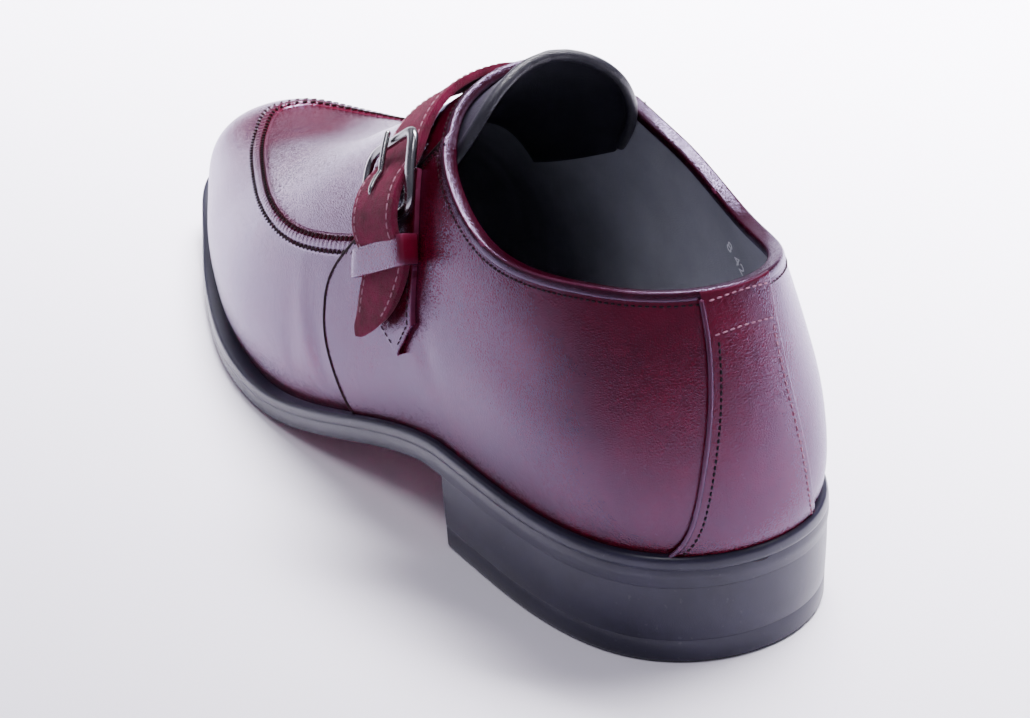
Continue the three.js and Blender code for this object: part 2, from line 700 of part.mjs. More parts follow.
function frameSolid() {
  const { lowRise, highRise, skew, barRise, halfWidth, bar, depth } = FRAME;
  const outside = bandSolid({
    station: strapStation,
    lowRise,
    highRise,
    skew,
    front: () => halfWidth,
    rear: () => halfWidth,
    under: frameLift,
    over: (rise) => frameLift(rise) + depth,
    counts: FRAME_COUNTS,
  });
  const inside = bandSolid({
    station: strapStation,
    lowRise: lowRise + barRise,
    highRise: highRise - barRise,
    skew: (skew * (halfWidth - bar)) / halfWidth,
    front: () => halfWidth - bar,
    rear: () => halfWidth - bar,
    under: (rise) => frameLift(rise) - depth,
    over: (rise) => frameLift(rise) + 2 * depth,
    counts: FRAME_COUNTS,
  });
  return outside.subtract(inside);
}

function prongSolid() {
  const under = (rise) => Math.max(strapLift(rise) + STRAP_THICKNESS, frameLift(rise) + FRAME.depth) + GAP;
  return bandSolid({
    station: strapStation,
    lowRise: PRONG.lowRise,
    highRise: PRONG.highRise,
    front: () => PRONG.halfWidth,
    rear: () => PRONG.halfWidth,
    under,
    over: (rise) => under(rise) + PRONG.depth,
    counts: PRONG_COUNTS,
  });
}

// The outline of a layer of the sole: the feather line moved out level by "out" plus a share of the ledge.
function outlinePoint(turn, side, out, ledgeShare) {
  const along = alongAt(turn);
  const ledge = BALL_WIDTH * (side > 0 ? ledgeLateral(along) : ledgeMedial(along));
  const before = featherPoint(turn - SLOPE_STEP, side);
  const after = featherPoint(turn + SLOPE_STEP, side);
  const normal = new THREE.Vector2(after.y - before.y, before.x - after.x).multiplyScalar(-side).normalize();
  const point = featherPoint(turn, side);
  const distance = out + ledgeShare * ledge;
  return new THREE.Vector3(point.x + normal.x * distance, point.y + normal.y * distance, 0);
}

// A plate that follows the sole's curve. Its rings run from the bottom face to the top face after a side
// profile, with heights between the two given surfaces. A heel's plate ends at a hollowed face.
function plateSolid({ edge, bottomZ, topZ, out = 0, ledgeShare = 1, lastTurn = Math.PI }) {
  const builder = new MeshBuilder();
  const whole = lastTurn === Math.PI;
  const count = whole ? RIB_COUNT : HEEL_STRIPS;
  const acrossCount = PLATE_LANES;
  const layers = edge.map((ring) => {
    const height = (x) => mix(bottomZ(x), topZ(x), ring.height);
    const ringPoint = (turn, side) => outlinePoint(turn, side, out + ring.out, ledgeShare);
    const strips = [];
    for (let i = 1; i <= (whole ? count - 1 : count); i++) {
      const turn = (lastTurn * i) / count;
      const left = ringPoint(turn, LATERAL);
      const right = ringPoint(turn, MEDIAL);
      const strip = [];
      for (let j = 0; j <= acrossCount; j++) {
        const point = left.clone().lerp(right, j / acrossCount);
        if (!whole && i === count) {
          const across = (2 * j) / acrossCount - 1;
          point.x -= BREAST_HOLLOW * (1 - across * across);
        }
        point.z = height(point.x);
        strip.push(builder.add(point));
      }
      strips.push(strip);
    }
    const back = ringPoint(0, LATERAL);
    back.z = height(back.x);
    const front = ringPoint(Math.PI, LATERAL);
    front.z = height(front.x);
    return { strips, back: builder.add(back), front: whole ? builder.add(front) : null };
  });
  const bottom = layers[0];
  const top = layers[layers.length - 1];
  capLayer(builder, bottom, acrossCount, true);
  capLayer(builder, top, acrossCount, false);
  for (let k = 0; k < layers.length - 1; k++) {
    const lower = rimOf(layers[k], acrossCount);
    const upper = rimOf(layers[k + 1], acrossCount);
    lower.forEach((point, i) => {
      const next = (i + 1) % lower.length;
      builder.quad(point, upper[i], upper[next], lower[next]);
    });
  }
  return builder.solid();
}

function rimOf({ strips, back, front }, acrossCount) {
  const lateral = strips.map((strip) => strip[0]);
  const medial = strips.map((strip) => strip[acrossCount]).reverse();
  const end = front === null ? strips[strips.length - 1].slice(1, acrossCount) : [front];
  return [back, ...lateral, ...end, ...medial];
}

function capLayer(builder, { strips, back, front }, acrossCount, downward) {
  const face = (a, b, c) => (downward ? builder.triangle(a, b, c) : builder.triangle(c, b, a));
  for (let i = 0; i < strips.length - 1; i++) {
    for (let j = 0; j < acrossCount; j++) {
      face(strips[i][j], strips[i + 1][j], strips[i + 1][j + 1]);
      face(strips[i][j], strips[i + 1][j + 1], strips[i][j + 1]);
    }
  }
  const firstStrip = strips[0];
  const lastStrip = strips[strips.length - 1];
  for (let j = 0; j < acrossCount; j++) {
    face(back, firstStrip[j], firstStrip[j + 1]);
    if (front !== null) face(lastStrip[j], front, lastStrip[j + 1]);
  }
}

function outsoleSolid() {
  return plateSolid({ edge: OUTSOLE_EDGE, bottomZ: undersideZ, topZ: outsoleTopZ });
}

const weltBottomZ = (x) => outsoleTopZ(x) + GAP;

function weltSolid() {
  const plate = plateSolid({ edge: WELT_EDGE, bottomZ: weltBottomZ, topZ: weltTopZ });
  const hole = plateSolid({
    edge: STRAIGHT_EDGE,
    bottomZ: (x) => weltBottomZ(x) - WELT_THICKNESS,
    topZ: (x) => weltTopZ(x) + WELT_THICKNESS,
    out: -WALL - GAP,
    ledgeShare: 0,
  });
  return plate.subtract(hole);
}

function insoleSolid() {
  return plateSolid({
    edge: STRAIGHT_EDGE,
    bottomZ: weltBottomZ,
    topZ: (x) => featherZ(x) + INSOLE_RISE,
    out: -WALL - 2 * GAP,
    ledgeShare: 0,
  });
}

const heelTurn = turnAt(HEEL_LENGTH / LAST_LENGTH);

function heelStackSolid() {
  return plateSolid({
    edge: HEEL_STACK_EDGE,
    bottomZ: () => TOP_LIFT_THICKNESS + GAP,
    topZ: (x) => undersideZ(x) - GAP,
    lastTurn: heelTurn,
  });
}

function topLiftSolid() {
  return plateSolid({
    edge: TOP_LIFT_EDGE,
    bottomZ: () => 0,
    topZ: () => TOP_LIFT_THICKNESS,
    lastTurn: heelTurn,
  });
}

const COLOURS = {
  upper: { color: 0x4a1428, roughness: 0.22, metalness: 0 },
  lining: { color: 0x0d0d10, roughness: 0.6, metalness: 0 },
  suede: { color: 0x5c1026, roughness: 0.95, metalness: 0 },
  sole: { color: 0x15131c, roughness: 0.4, metalness: 0 },
  outsole: { color: 0x7a1f3c, roughness: 0.35, metalness: 0 },
  buckle: { color: 0x5a5a60, roughness: 0.25, metalness: 1 },
};

const shoe = new THREE.Group();
function addPiece(name, solid, look) {
  const mesh = solid.getMesh();
  const geometry = new THREE.BufferGeometry();
  geometry.setAttribute("position", new THREE.Float32BufferAttribute(mesh.vertProperties, mesh.numProp));
  geometry.setIndex(new THREE.BufferAttribute(mesh.triVerts, 1));
  const piece = new THREE.Mesh(geometry, new THREE.MeshStandardMaterial(look));
  piece.name = name;
  shoe.add(piece);
}

addPiece("upper", upperSolid(), COLOURS.upper);
addPiece("tongue", tongueSolid(), COLOURS.lining);
addPiece("insole", insoleSolid(), COLOURS.lining);
addPiece("welt", weltSolid(), COLOURS.sole);
addPiece("outsole", outsoleSolid(), COLOURS.outsole);
addPiece("heel_stack", heelStackSolid(), COLOURS.sole);
addPiece("top_lift", topLiftSolid(), COLOURS.sole);
addPiece("strap", strapSolid(), COLOURS.suede);
addPiece("buckle_tab", tabSolid(), COLOURS.upper);
addPiece("keeper", keeperSolid(), COLOURS.upper);
addPiece("buckle_frame", frameSolid(), COLOURS.buckle);
addPiece("buckle_prong", prongSolid(), COLOURS.buckle);

// The shoe stands centred over the origin.
const box = new THREE.Box3().setFromObject(shoe);
const middle = box.getCenter(new THREE.Vector3());
for (const piece of shoe.children) piece.geometry.translate(-middle.x, -middle.y, -box.min.z);

export default shoe;
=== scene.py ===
# %% [markdown]
# # A monk strap shoe, pulled over its last
# A welted shoe is made round a last, a solid form of the foot. Flat leather panels are cut, stitched
# together and pulled over it, and the sole is built up below. This script works the same way: one function
# describes the last, flat grids are the cut panels, and each of them is pulled over that function.
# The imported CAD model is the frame. It fixes the size and the place of everything that is made here.

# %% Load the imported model
import json
import math
import bpy
import numpy as np
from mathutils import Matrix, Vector

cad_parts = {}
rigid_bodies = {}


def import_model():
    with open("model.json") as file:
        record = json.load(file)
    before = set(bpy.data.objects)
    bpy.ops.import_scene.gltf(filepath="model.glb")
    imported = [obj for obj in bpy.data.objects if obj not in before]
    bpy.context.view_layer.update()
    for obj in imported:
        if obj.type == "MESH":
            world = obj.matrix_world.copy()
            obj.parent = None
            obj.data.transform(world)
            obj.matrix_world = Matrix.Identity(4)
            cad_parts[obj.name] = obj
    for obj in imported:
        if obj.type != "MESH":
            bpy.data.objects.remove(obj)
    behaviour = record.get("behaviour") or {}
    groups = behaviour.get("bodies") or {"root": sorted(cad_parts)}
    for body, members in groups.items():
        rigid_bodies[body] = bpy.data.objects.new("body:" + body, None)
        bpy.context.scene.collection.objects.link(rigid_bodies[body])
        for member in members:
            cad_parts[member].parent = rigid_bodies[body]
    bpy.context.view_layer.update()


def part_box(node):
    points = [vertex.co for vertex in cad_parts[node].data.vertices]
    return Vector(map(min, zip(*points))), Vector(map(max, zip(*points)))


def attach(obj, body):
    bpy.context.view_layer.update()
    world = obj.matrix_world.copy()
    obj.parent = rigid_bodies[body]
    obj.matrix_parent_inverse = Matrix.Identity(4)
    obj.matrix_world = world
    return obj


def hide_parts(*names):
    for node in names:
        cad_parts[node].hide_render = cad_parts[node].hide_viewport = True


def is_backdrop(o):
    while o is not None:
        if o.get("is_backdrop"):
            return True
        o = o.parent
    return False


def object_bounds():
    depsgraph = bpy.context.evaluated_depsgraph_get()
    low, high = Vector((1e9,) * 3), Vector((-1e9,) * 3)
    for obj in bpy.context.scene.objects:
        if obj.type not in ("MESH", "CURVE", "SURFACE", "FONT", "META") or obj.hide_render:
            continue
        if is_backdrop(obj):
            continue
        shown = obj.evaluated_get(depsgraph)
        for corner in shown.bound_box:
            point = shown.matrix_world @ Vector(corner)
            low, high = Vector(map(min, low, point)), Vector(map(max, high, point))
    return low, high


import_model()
bpy.ops.object.select_all(action="DESELECT")

# %% [markdown]
# ## The last
# The last is a family of ribs. Each rib starts at the feather line, where the upper meets the welt, and
# climbs to a ridge over the foot. A "turn" of 0 is the back of the heel and half a circle is the toe, and
# "station" is the same thing from 0 to 1. "rise" is 0 at the feather line and 1 at the ridge, and past 1 it
# runs down the other side. Short tables give the shapes as shares of a few real sizes.

# %% Sizes of the last and of the leather
MM = 0.001
LAST_LENGTH = 296 * MM
BALL_WIDTH = 94 * MM
INSTEP_HEIGHT = 128 * MM
HEEL_HEIGHT = 19.5 * MM
TOE_SPRING = 11 * MM
HEEL_END_RADIUS = 32 * MM
TOE_END_RADIUS = 30 * MM
HEEL_AXIS_X = 34 * MM
TOE_AXIS_BACK = 42 * MM
OUTSOLE_THICKNESS = 4.2 * MM
WELT_THICKNESS = 3 * MM
TOP_LIFT_THICKNESS = 6 * MM
GAP = 0.3 * MM
WALL = 2.2 * MM
QUARTER_STEP = 1 * MM
STRIP_STEP = 1.9 * MM
HEEL_LENGTH = 74 * MM
ARCH_CLEARANCE = 2.4 * MM
ARCH_FRONT = 0.58
ARCH_FULLNESS = 1.6
SPRING_START = 0.74
BREAST_HOLLOW = 3 * MM
RIB_COUNT = 30
LATERAL = 1
MEDIAL = -1


def table(names, *rows):
    """A short table with named columns."""
    return {name: np.array(column, float) for name, column in zip(names.split(), zip(*rows))}


FEATHER = table(
    "along centre half",
    (0.06, -0.02, 0.294), (0.12, -0.018, 0.348), (0.2, -0.006, 0.361), (0.3, 0.021, 0.356),
    (0.4, 0.047, 0.378), (0.5, 0.034, 0.428), (0.6, -0.004, 0.468), (0.68, -0.045, 0.472),
    (0.75, -0.07, 0.44), (0.83, -0.088, 0.377), (0.9, -0.1, 0.301), (0.96, -0.108, 0.226),
)
RIBS = table(
    "along ridge lean low_out low_rise belly_out belly_rise shoulder_in shoulder_rise crown_in swing",
    (0.0, 1.04, -0.01, 0.03, 0.05, 0.075, 0.3, 0.4, 0.74, 0.6, 0.3),
    (0.12, 1.03, -0.01, 0.03, 0.05, 0.075, 0.3, 0.3, 0.78, 0.55, 0.3),
    (0.2, 0.965, -0.005, 0.03, 0.05, 0.075, 0.32, 0.12, 0.86, 0.43, 0.12),
    (0.27, 0.875, 0.0, 0.03, 0.06, 0.075, 0.34, 0.0, 0.88, 0.36, 0.03),
    (0.39, 0.735, -0.01, 0.03, 0.07, 0.07, 0.38, 0.04, 0.88, 0.44, 0),
    (0.53, 0.61, -0.025, 0.03, 0.08, 0.065, 0.42, 0.13, 0.87, 0.54, 0),
    (0.66, 0.495, -0.045, 0.03, 0.1, 0.065, 0.45, 0.18, 0.88, 0.56, 0),
    (0.8, 0.4, -0.065, 0.03, 0.1, 0.07, 0.5, 0.17, 0.93, 0.55, 0),
    (0.9, 0.357, -0.08, 0.035, 0.1, 0.07, 0.52, 0.16, 0.96, 0.52, 0),
    (1.0, 0.342, -0.09, 0.035, 0.1, 0.07, 0.5, 0.19, 0.95, 0.5, 0),
)
LEDGE = table(
    "along lateral medial",
    (0.0, 0.034, 0.034), (0.15, 0.034, 0.03), (0.35, 0.034, 0.018), (0.5, 0.044, 0.024),
    (0.65, 0.052, 0.046), (0.85, 0.05, 0.05), (1.0, 0.055, 0.055),
)
TOPLINE = table(
    "x lateral medial",
    (-0.1, 0.67, 0.67), (0, 0.67, 0.67), (0.08, 0.66, 0.645), (0.15, 0.65, 0.63), (0.2, 0.668, 0.655),
    (0.24, 0.71, 0.695), (0.27, 0.755, 0.73), (0.3, 0.815, 0.79), (0.32, 0.865, 0.85), (0.335, 0.94, 0.93),
)
COLLAR_HALF_WIDTH = 24 * MM
print("tables for", len(RIBS["along"]), "ribs of a last", LAST_LENGTH, "m long")

# %% [markdown]
# A natural cubic spline turns each column into a smooth curve. The half width is kept as a fullness, which
# is the half width over the sine of the turn, so that the outline closes roundly at the heel and the toe.

# %% Splines and the last's surface
def spline(xs, ys):
    """A smooth curve through the points, straight at both ends, for arrays of places."""
    xs, ys = np.array(xs, float), np.array(ys, float)
    count = len(xs)
    matrix, right = np.eye(count), np.zeros(count)
    for i in range(1, count - 1):
        before, after = xs[i] - xs[i - 1], xs[i + 1] - xs[i]
        matrix[i, i - 1 : i + 2] = before, 2 * (before + after), after
        right[i] = 6 * ((ys[i + 1] - ys[i]) / after - (ys[i] - ys[i - 1]) / before)
    bend = np.linalg.solve(matrix, right)

    def curve(x):
        x = np.asarray(x, float)
        i = np.clip(np.searchsorted(xs, x, side="right") - 1, 0, count - 2)
        span = xs[i + 1] - xs[i]
        b = (x - xs[i]) / span
        a = 1 - b
        sag = ((a**3 - a) * bend[i] + (b**3 - b) * bend[i + 1]) * span**2 / 6
        return a * ys[i] + b * ys[i + 1] + sag

    return curve


def end_fullness(radius):
    return math.sqrt(radius * LAST_LENGTH / 2) / BALL_WIDTH


along_sine = 2 * np.sqrt(FEATHER["along"] * (1 - FEATHER["along"]))
fullness = spline(
    [0, *FEATHER["along"], 1],
    [end_fullness(HEEL_END_RADIUS), *(FEATHER["half"] / along_sine), end_fullness(TOE_END_RADIUS)],
)
centre_line = spline(FEATHER["along"], FEATHER["centre"])
rib = {name: spline(RIBS["along"], RIBS[name]) for name in RIBS if name != "along"}
ledge = {LATERAL: spline(LEDGE["along"], LEDGE["lateral"]), MEDIAL: spline(LEDGE["along"], LEDGE["medial"])}
topline = {LATERAL: spline(TOPLINE["x"], TOPLINE["lateral"]), MEDIAL: spline(TOPLINE["x"], TOPLINE["medial"])}
ARCH_BACK = (HEEL_LENGTH + ARCH_CLEARANCE) / LAST_LENGTH


def underside(x):
    """Height of the outsole's underside over the floor, for the last's own x."""
    share = x / LAST_LENGTH
    left = 1 - np.clip((share - ARCH_BACK) / (ARCH_FRONT - ARCH_BACK), 0, 1)
    spring = np.maximum(0, (share - SPRING_START) / (1 - SPRING_START))
    return HEEL_HEIGHT * left**2 * (1 + ARCH_FULLNESS * (1 - left)) + TOE_SPRING * spring**2


def outsole_top(x):
    return underside(x) + OUTSOLE_THICKNESS


def welt_top(x):
    return outsole_top(x) + GAP + WELT_THICKNESS


def feather(turn, side):
    """Points of the feather line. A negative turn, or one past the toe, is on the other side."""
    along = (1 - np.cos(turn)) / 2
    x = LAST_LENGTH * along
    y = BALL_WIDTH * (centre_line(along) + side * fullness(along) * np.sin(turn))
    return np.stack([x, y, welt_top(x) + GAP], -1)


def bezier(controls, t):
    """A curve through a list of six control values."""
    weights = (1, 5, 10, 10, 5, 1)
    return sum(w * c * t**k * (1 - t) ** (5 - k) for k, (w, c) in enumerate(zip(weights, controls)))


def rib_point(turn, side, rise):
    """Points on the last's ribs."""
    turn, side, rise = np.broadcast_arrays(*(np.asarray(v, float) for v in (turn, side, rise)))
    side = np.where(rise > 1, -side, side)
    rise = np.where(rise > 1, 2 - rise, rise)
    along = (1 - np.cos(turn)) / 2
    foot = feather(turn, side)
    ridge_x = HEEL_AXIS_X + (LAST_LENGTH - HEEL_AXIS_X - TOE_AXIS_BACK) * along
    reach_x = ridge_x - foot[..., 0]
    reach_y = BALL_WIDTH * rib["lean"](along) - foot[..., 1]
    distance = np.hypot(reach_x, reach_y)
    height = INSTEP_HEIGHT * rib["ridge"](along) - foot[..., 2]
    shoulder = rib["shoulder_in"](along) - side * np.sin(turn) * rib["swing"](along)
    insets = [
        0, -BALL_WIDTH * rib["low_out"](along), -BALL_WIDTH * rib["belly_out"](along),
        distance * shoulder, distance * rib["crown_in"](along), distance,
    ]
    heights = [0, rib["low_rise"](along), rib["belly_rise"](along), rib["shoulder_rise"](along), 1, 1]
    inset = bezier(insets, rise) / distance
    lift = height * bezier(heights, rise)
    return foot + np.stack([reach_x * inset, reach_y * inset, lift], -1)


# %% [markdown]
# The ribs of both sides meet at the ridge with a faint crease. Wet leather pulled over a last bridges such
# a line, so points near the ridge are averaged with their neighbours across it.

# %% The skin of the shoe
RIDGE_ROUNDING = 0.13
ROUNDING_STEPS = ((-1, 1), (-0.5, 2), (0, 3), (0.5, 2), (1, 1))
SLOPE_STEP = 1e-4


def bare(station, rise):
    """Points on the last, rounded over its ridge."""
    turn = np.pi * np.asarray(station, float)
    rise = np.asarray(rise, float)
    reach = RIDGE_ROUNDING * np.clip(1 - ((rise - 1) / (2 * RIDGE_ROUNDING)) ** 2, 0, 1)
    total = sum(weight * rib_point(turn, LATERAL, rise + step * reach) for step, weight in ROUNDING_STEPS)
    return total / sum(weight for step, weight in ROUNDING_STEPS)


def normal_at(station, rise):
    across = bare(station + SLOPE_STEP, rise) - bare(station - SLOPE_STEP, rise)
    up = bare(station, rise + SLOPE_STEP) - bare(station, np.maximum(0, rise - SLOPE_STEP))
    normal = np.cross(up, across)
    size = np.linalg.norm(normal, axis=-1, keepdims=True)
    # All ribs run together where the ridge ends over the toe, and the skin is level there.
    return np.where(size > 1e-12, normal / np.maximum(size, 1e-12), (0.08, 0, 0.997))


def outline(turn, side, out, ledge_share=1.0):
    """The feather line moved out level by "out" plus a share of the ledge."""
    turn, side, out = np.broadcast_arrays(*(np.asarray(v, float) for v in (turn, side, out)))
    along = (1 - np.cos(turn)) / 2
    width = BALL_WIDTH * np.where(side > 0, ledge[LATERAL](along), ledge[MEDIAL](along))
    slope = feather(turn + SLOPE_STEP, side) - feather(turn - SLOPE_STEP, side)
    normal = np.stack([slope[..., 1], -slope[..., 0]], -1) * -side[..., None]
    normal /= np.linalg.norm(normal, axis=-1, keepdims=True)
    return feather(turn, side)[..., :2] + normal * (out + ledge_share * width)[..., None]


# %% [markdown]
# The CAD model stands centred over the origin. The sole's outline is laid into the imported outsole's box,
# which tells how far the last has to move, so that every piece lands on its CAD node with no fitting.

# %% The last's place in the frame
cad_turns = np.pi * np.arange(RIB_COUNT + 1) / RIB_COUNT
cad_outline = np.concatenate([outline(cad_turns, side, 0) for side in (LATERAL, MEDIAL)])
sole_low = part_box("outsole")[0]
SHIFT = np.array([sole_low[0] - cad_outline[:, 0].min(), sole_low[1] - cad_outline[:, 1].min(), 0])
print("the last is moved by", SHIFT.round(5))


def skin(station, rise, lift=0.0):
    """Points in the frame, a distance "lift" off the last. Negative lifts are inside."""
    station, rise, lift = np.broadcast_arrays(*(np.asarray(v, float) for v in (station, rise, lift)))
    normal = normal_at(station, rise)
    points = bare(station, rise) + normal * lift[..., None] + SHIFT
    # The lowest edge is turned down on to the welt.
    points[..., 2] -= 1.3 * GAP * np.clip(1 - rise / 0.02, 0, 1)
    return points


def collar_height(x, y):
    """Height of the collar's edge, which runs straight between its two sides over the middle of the shoe."""
    share = np.clip(y / (2 * COLLAR_HALF_WIDTH) + 0.5, 0, 1)
    low, high = topline[MEDIAL](x / LAST_LENGTH), topline[LATERAL](x / LAST_LENGTH)
    return INSTEP_HEIGHT * (low + (high - low) * share)


def solve(over, low, high):
    """Halves the range again and again towards the place where "over" changes from below 0 to above."""
    low, high = np.array(low, float), np.array(high, float)
    for _ in range(40):
        middle = (low + high) / 2
        above = over(middle) > 0
        high, low = np.where(above, middle, high), np.where(above, low, middle)
    return (low + high) / 2


def over_collar(station, rise):
    point = bare(station, rise)
    return point[..., 2] - collar_height(point[..., 0], point[..., 1])

# %% [markdown]
# ## Camera, floor and light
# The camera stands where the photographer stood, behind the shoe on its outer side and above it, and looks
# at the shoe. The floor is a wide pale sheet and the lights are large softboxes, so that the polished
# leather has broad soft things to reflect.

# %% Camera, floor and light
CAMERA_PLACE = Vector((-0.5202, 0.2410, 0.2892))
AIM = Vector((-0.0202, -0.0087, 0.0147))
bpy.ops.object.camera_add(location=CAMERA_PLACE)
camera = bpy.context.object
# The photographer's camera looked past the shoe, so it is swung on to the shoe without turning the picture.
PHOTO_VIEW = Vector((0.7538, -0.4895, -0.4384))
swing = PHOTO_VIEW.rotation_difference(AIM - CAMERA_PLACE)
camera.rotation_euler = (swing @ PHOTO_VIEW.to_track_quat("-Z", "Y")).to_euler()
camera.data.lens = 83
camera.data.clip_start = 0.01
bpy.context.scene.camera = camera


def softbox(name, place, aim, size, watts, colour=(0.96, 0.94, 1), spread=180):
    bpy.ops.object.light_add(type="AREA", location=place)
    light = bpy.context.object
    light.name = name
    light.rotation_euler = (Vector(aim) - Vector(place)).to_track_quat("-Z", "Y").to_euler()
    light.data.shape = "RECTANGLE"
    light.data.size, light.data.size_y = size
    light.data.energy = watts
    light.data.color = colour
    light.data.spread = math.radians(spread)
    return light


softbox("overhead_softbox", (0.2, -0.55, 1.3), (0.16, -0.48, 0), (1.7, 0.6), 62, spread=62)
softbox("far_softbox", (1.15, -0.75, 0.45), (0.1, -0.05, 0.02), (1.6, 0.7), 3.5)
softbox("toe_softbox", (1.3, 0.5, 0.7), (0.1, 0, 0.04), (0.8, 0.6), 1.2)
softbox("collar_softbox", (-0.35, 0.35, 1.1), (-0.1, 0, 0.07), (0.4, 0.4), 5)
world = bpy.data.worlds.new("studio")
bpy.context.scene.world = world
world.use_nodes = True
world.node_tree.nodes["Background"].inputs["Color"].default_value = (0.82, 0.8, 1, 1)
world.node_tree.nodes["Background"].inputs["Strength"].default_value = 0.28
print("camera", tuple(CAMERA_PLACE), "lens", camera.data.lens)

# %% [markdown]
# ## Small tools for building materials
# A node tree is quicker to read as a few calls than as a list of links. "node" adds a node, sets its
# options and fills its sockets, with a value or with the output of another node.

# %% Tools for node trees
def node(tree, kind, sockets=None, **options):
    made = tree.nodes.new("ShaderNode" + kind)
    for name, value in options.items():
        setattr(made, name, value)
    for name, value in (sockets or {}).items():
        if isinstance(value, bpy.types.NodeSocket):
            tree.links.new(value, made.inputs[name])
        else:
            made.inputs[name].default_value = value
    return made


def group(name, inputs, outputs):
    """A shader node group with named sockets. Gives the tree, its inputs, and a call that sets an output."""
    tree = bpy.data.node_groups.new(name, "ShaderNodeTree")
    for socket, kind, default in inputs:
        made = tree.interface.new_socket(socket, in_out="INPUT", socket_type="NodeSocket" + kind)
        if default is not None:
            made.default_value = default
    for socket, kind in outputs:
        tree.interface.new_socket(socket, in_out="OUTPUT", socket_type="NodeSocket" + kind)
    enter, leave = tree.nodes.new("NodeGroupInput"), tree.nodes.new("NodeGroupOutput")
    return tree, enter.outputs, lambda socket, value: tree.links.new(value, leave.inputs[socket])


def use(tree, name, sockets):
    """Places a group in a material with that material's own values."""
    placed = tree.nodes.new("ShaderNodeGroup")
    placed.node_tree = bpy.data.node_groups[name]
    for socket, value in sockets.items():
        if isinstance(value, bpy.types.NodeSocket):
            tree.links.new(value, placed.inputs[socket])
        else:
            placed.inputs[socket].default_value = value
    return placed.outputs


def maths(tree, operation, first, second=None):
    made = tree.nodes.new("ShaderNodeMath")
    made.operation = operation
    for socket, value in zip(made.inputs, (first, second)):
        if isinstance(value, bpy.types.NodeSocket):
            tree.links.new(value, socket)
        elif value is not None:
            socket.default_value = value
    return made.outputs[0]


def blend(tree, factor, first, second):
    """Mixes two colours by a mask."""
    made = tree.nodes.new("ShaderNodeMix")
    made.data_type = "RGBA"
    for socket, value in ((made.inputs[0], factor), (made.inputs[6], first), (made.inputs[7], second)):
        if isinstance(value, bpy.types.NodeSocket):
            tree.links.new(value, socket)
        else:
            socket.default_value = value
    return made.outputs[2]


def material(name):
    """A new material. Gives it with its tree, its Principled shader and the piece's own coordinates."""
    made = bpy.data.materials.new(name)
    made.use_nodes = True
    tree = made.node_tree
    place = node(tree, "TexCoord").outputs["Object"]
    return made, tree, tree.nodes["Principled BSDF"], place


def set_shader(shader, **values):
    for name, value in values.items():
        shader.inputs[name.replace("_", " ")].default_value = value


def linear(red, green, blue):
    """A colour as painters mix it, from 0 to 255, for a shader."""
    return (*((c / 255) ** 2.2 for c in (red, green, blue)), 1)


# %% [markdown]
# ## Effects that several finishes share
# Grain, mottled colour, edge wear, fine scratches and dust are node groups. Each is built once, and every
# material places it with its own scale and strength.

# %% Leather grain
tree, given, give = group(
    "leather_grain",
    [("Place", "Vector", None), ("Pore Size", "Float", 0.0007), ("Crease Depth", "Float", 0.4)],
    [("Height", "Float"), ("Pores", "Float")],
)
scale = maths(tree, "DIVIDE", 1.0, given["Pore Size"])
warp = node(tree, "TexNoise", {"Vector": given["Place"], "Scale": 260.0, "Detail": 2.0})
bent = node(tree, "MixRGB", {"Fac": 0.0012, "Color1": given["Place"], "Color2": warp.outputs["Color"]}, blend_type="ADD")
cells = node(tree, "TexVoronoi", {"Vector": bent.outputs["Color"], "Scale": scale}, feature="DISTANCE_TO_EDGE")
pebble = node(tree, "MapRange", {"Value": cells.outputs["Distance"], "From Max": 0.35})
fine = node(tree, "TexNoise", {"Vector": given["Place"], "Scale": 2600.0, "Detail": 3.0})
broad = node(tree, "TexNoise", {"Vector": given["Place"], "Scale": 90.0, "Detail": 4.0, "Distortion": 0.6})
ridged = maths(tree, "ABSOLUTE", maths(tree, "SUBTRACT", broad.outputs["Fac"], 0.5))
creases = maths(tree, "MULTIPLY", maths(tree, "MULTIPLY", ridged, 6.0), given["Crease Depth"])
height = maths(tree, "ADD", maths(tree, "ADD", pebble.outputs["Result"], creases), maths(tree, "MULTIPLY", fine.outputs["Fac"], 0.25))
give("Height", height)
give("Pores", pebble.outputs["Result"])

# %% Mottled colour
tree, given, give = group(
    "mottled_colour",
    [("Place", "Vector", None), ("Scale", "Float", 30.0), ("Light", "Color", (1, 1, 1, 1)),
     ("Dark", "Color", (0, 0, 0, 1)), ("Sharpness", "Float", 0.3)],
    [("Colour", "Color"), ("Mask", "Float")],
)
cloud = node(tree, "TexNoise", {"Vector": given["Place"], "Scale": given["Scale"], "Detail": 5.0, "Roughness": 0.6})
low = maths(tree, "SUBTRACT", 0.5, given["Sharpness"])
high = maths(tree, "ADD", 0.5, given["Sharpness"])
mask = node(tree, "MapRange", {"Value": cloud.outputs["Fac"], "From Min": low, "From Max": high})
give("Colour", blend(tree, mask.outputs["Result"], given["Dark"], given["Light"]))
give("Mask", mask.outputs["Result"])

# %% Edge wear
tree, given, give = group(
    "edge_wear",
    [("Place", "Vector", None), ("Amount", "Float", 1.0)],
    [("Mask", "Float")],
)
form = node(tree, "NewGeometry")
sharp = node(tree, "MapRange", {"Value": form.outputs["Pointiness"], "From Min": 0.51, "From Max": 0.6})
patchy = node(tree, "TexNoise", {"Vector": given["Place"], "Scale": 160.0, "Detail": 3.0})
worn = maths(tree, "MULTIPLY", sharp.outputs["Result"], patchy.outputs["Fac"])
clamped = node(tree, "Math", {0: worn, 1: given["Amount"]}, operation="MULTIPLY", use_clamp=True)
give("Mask", clamped.outputs[0])

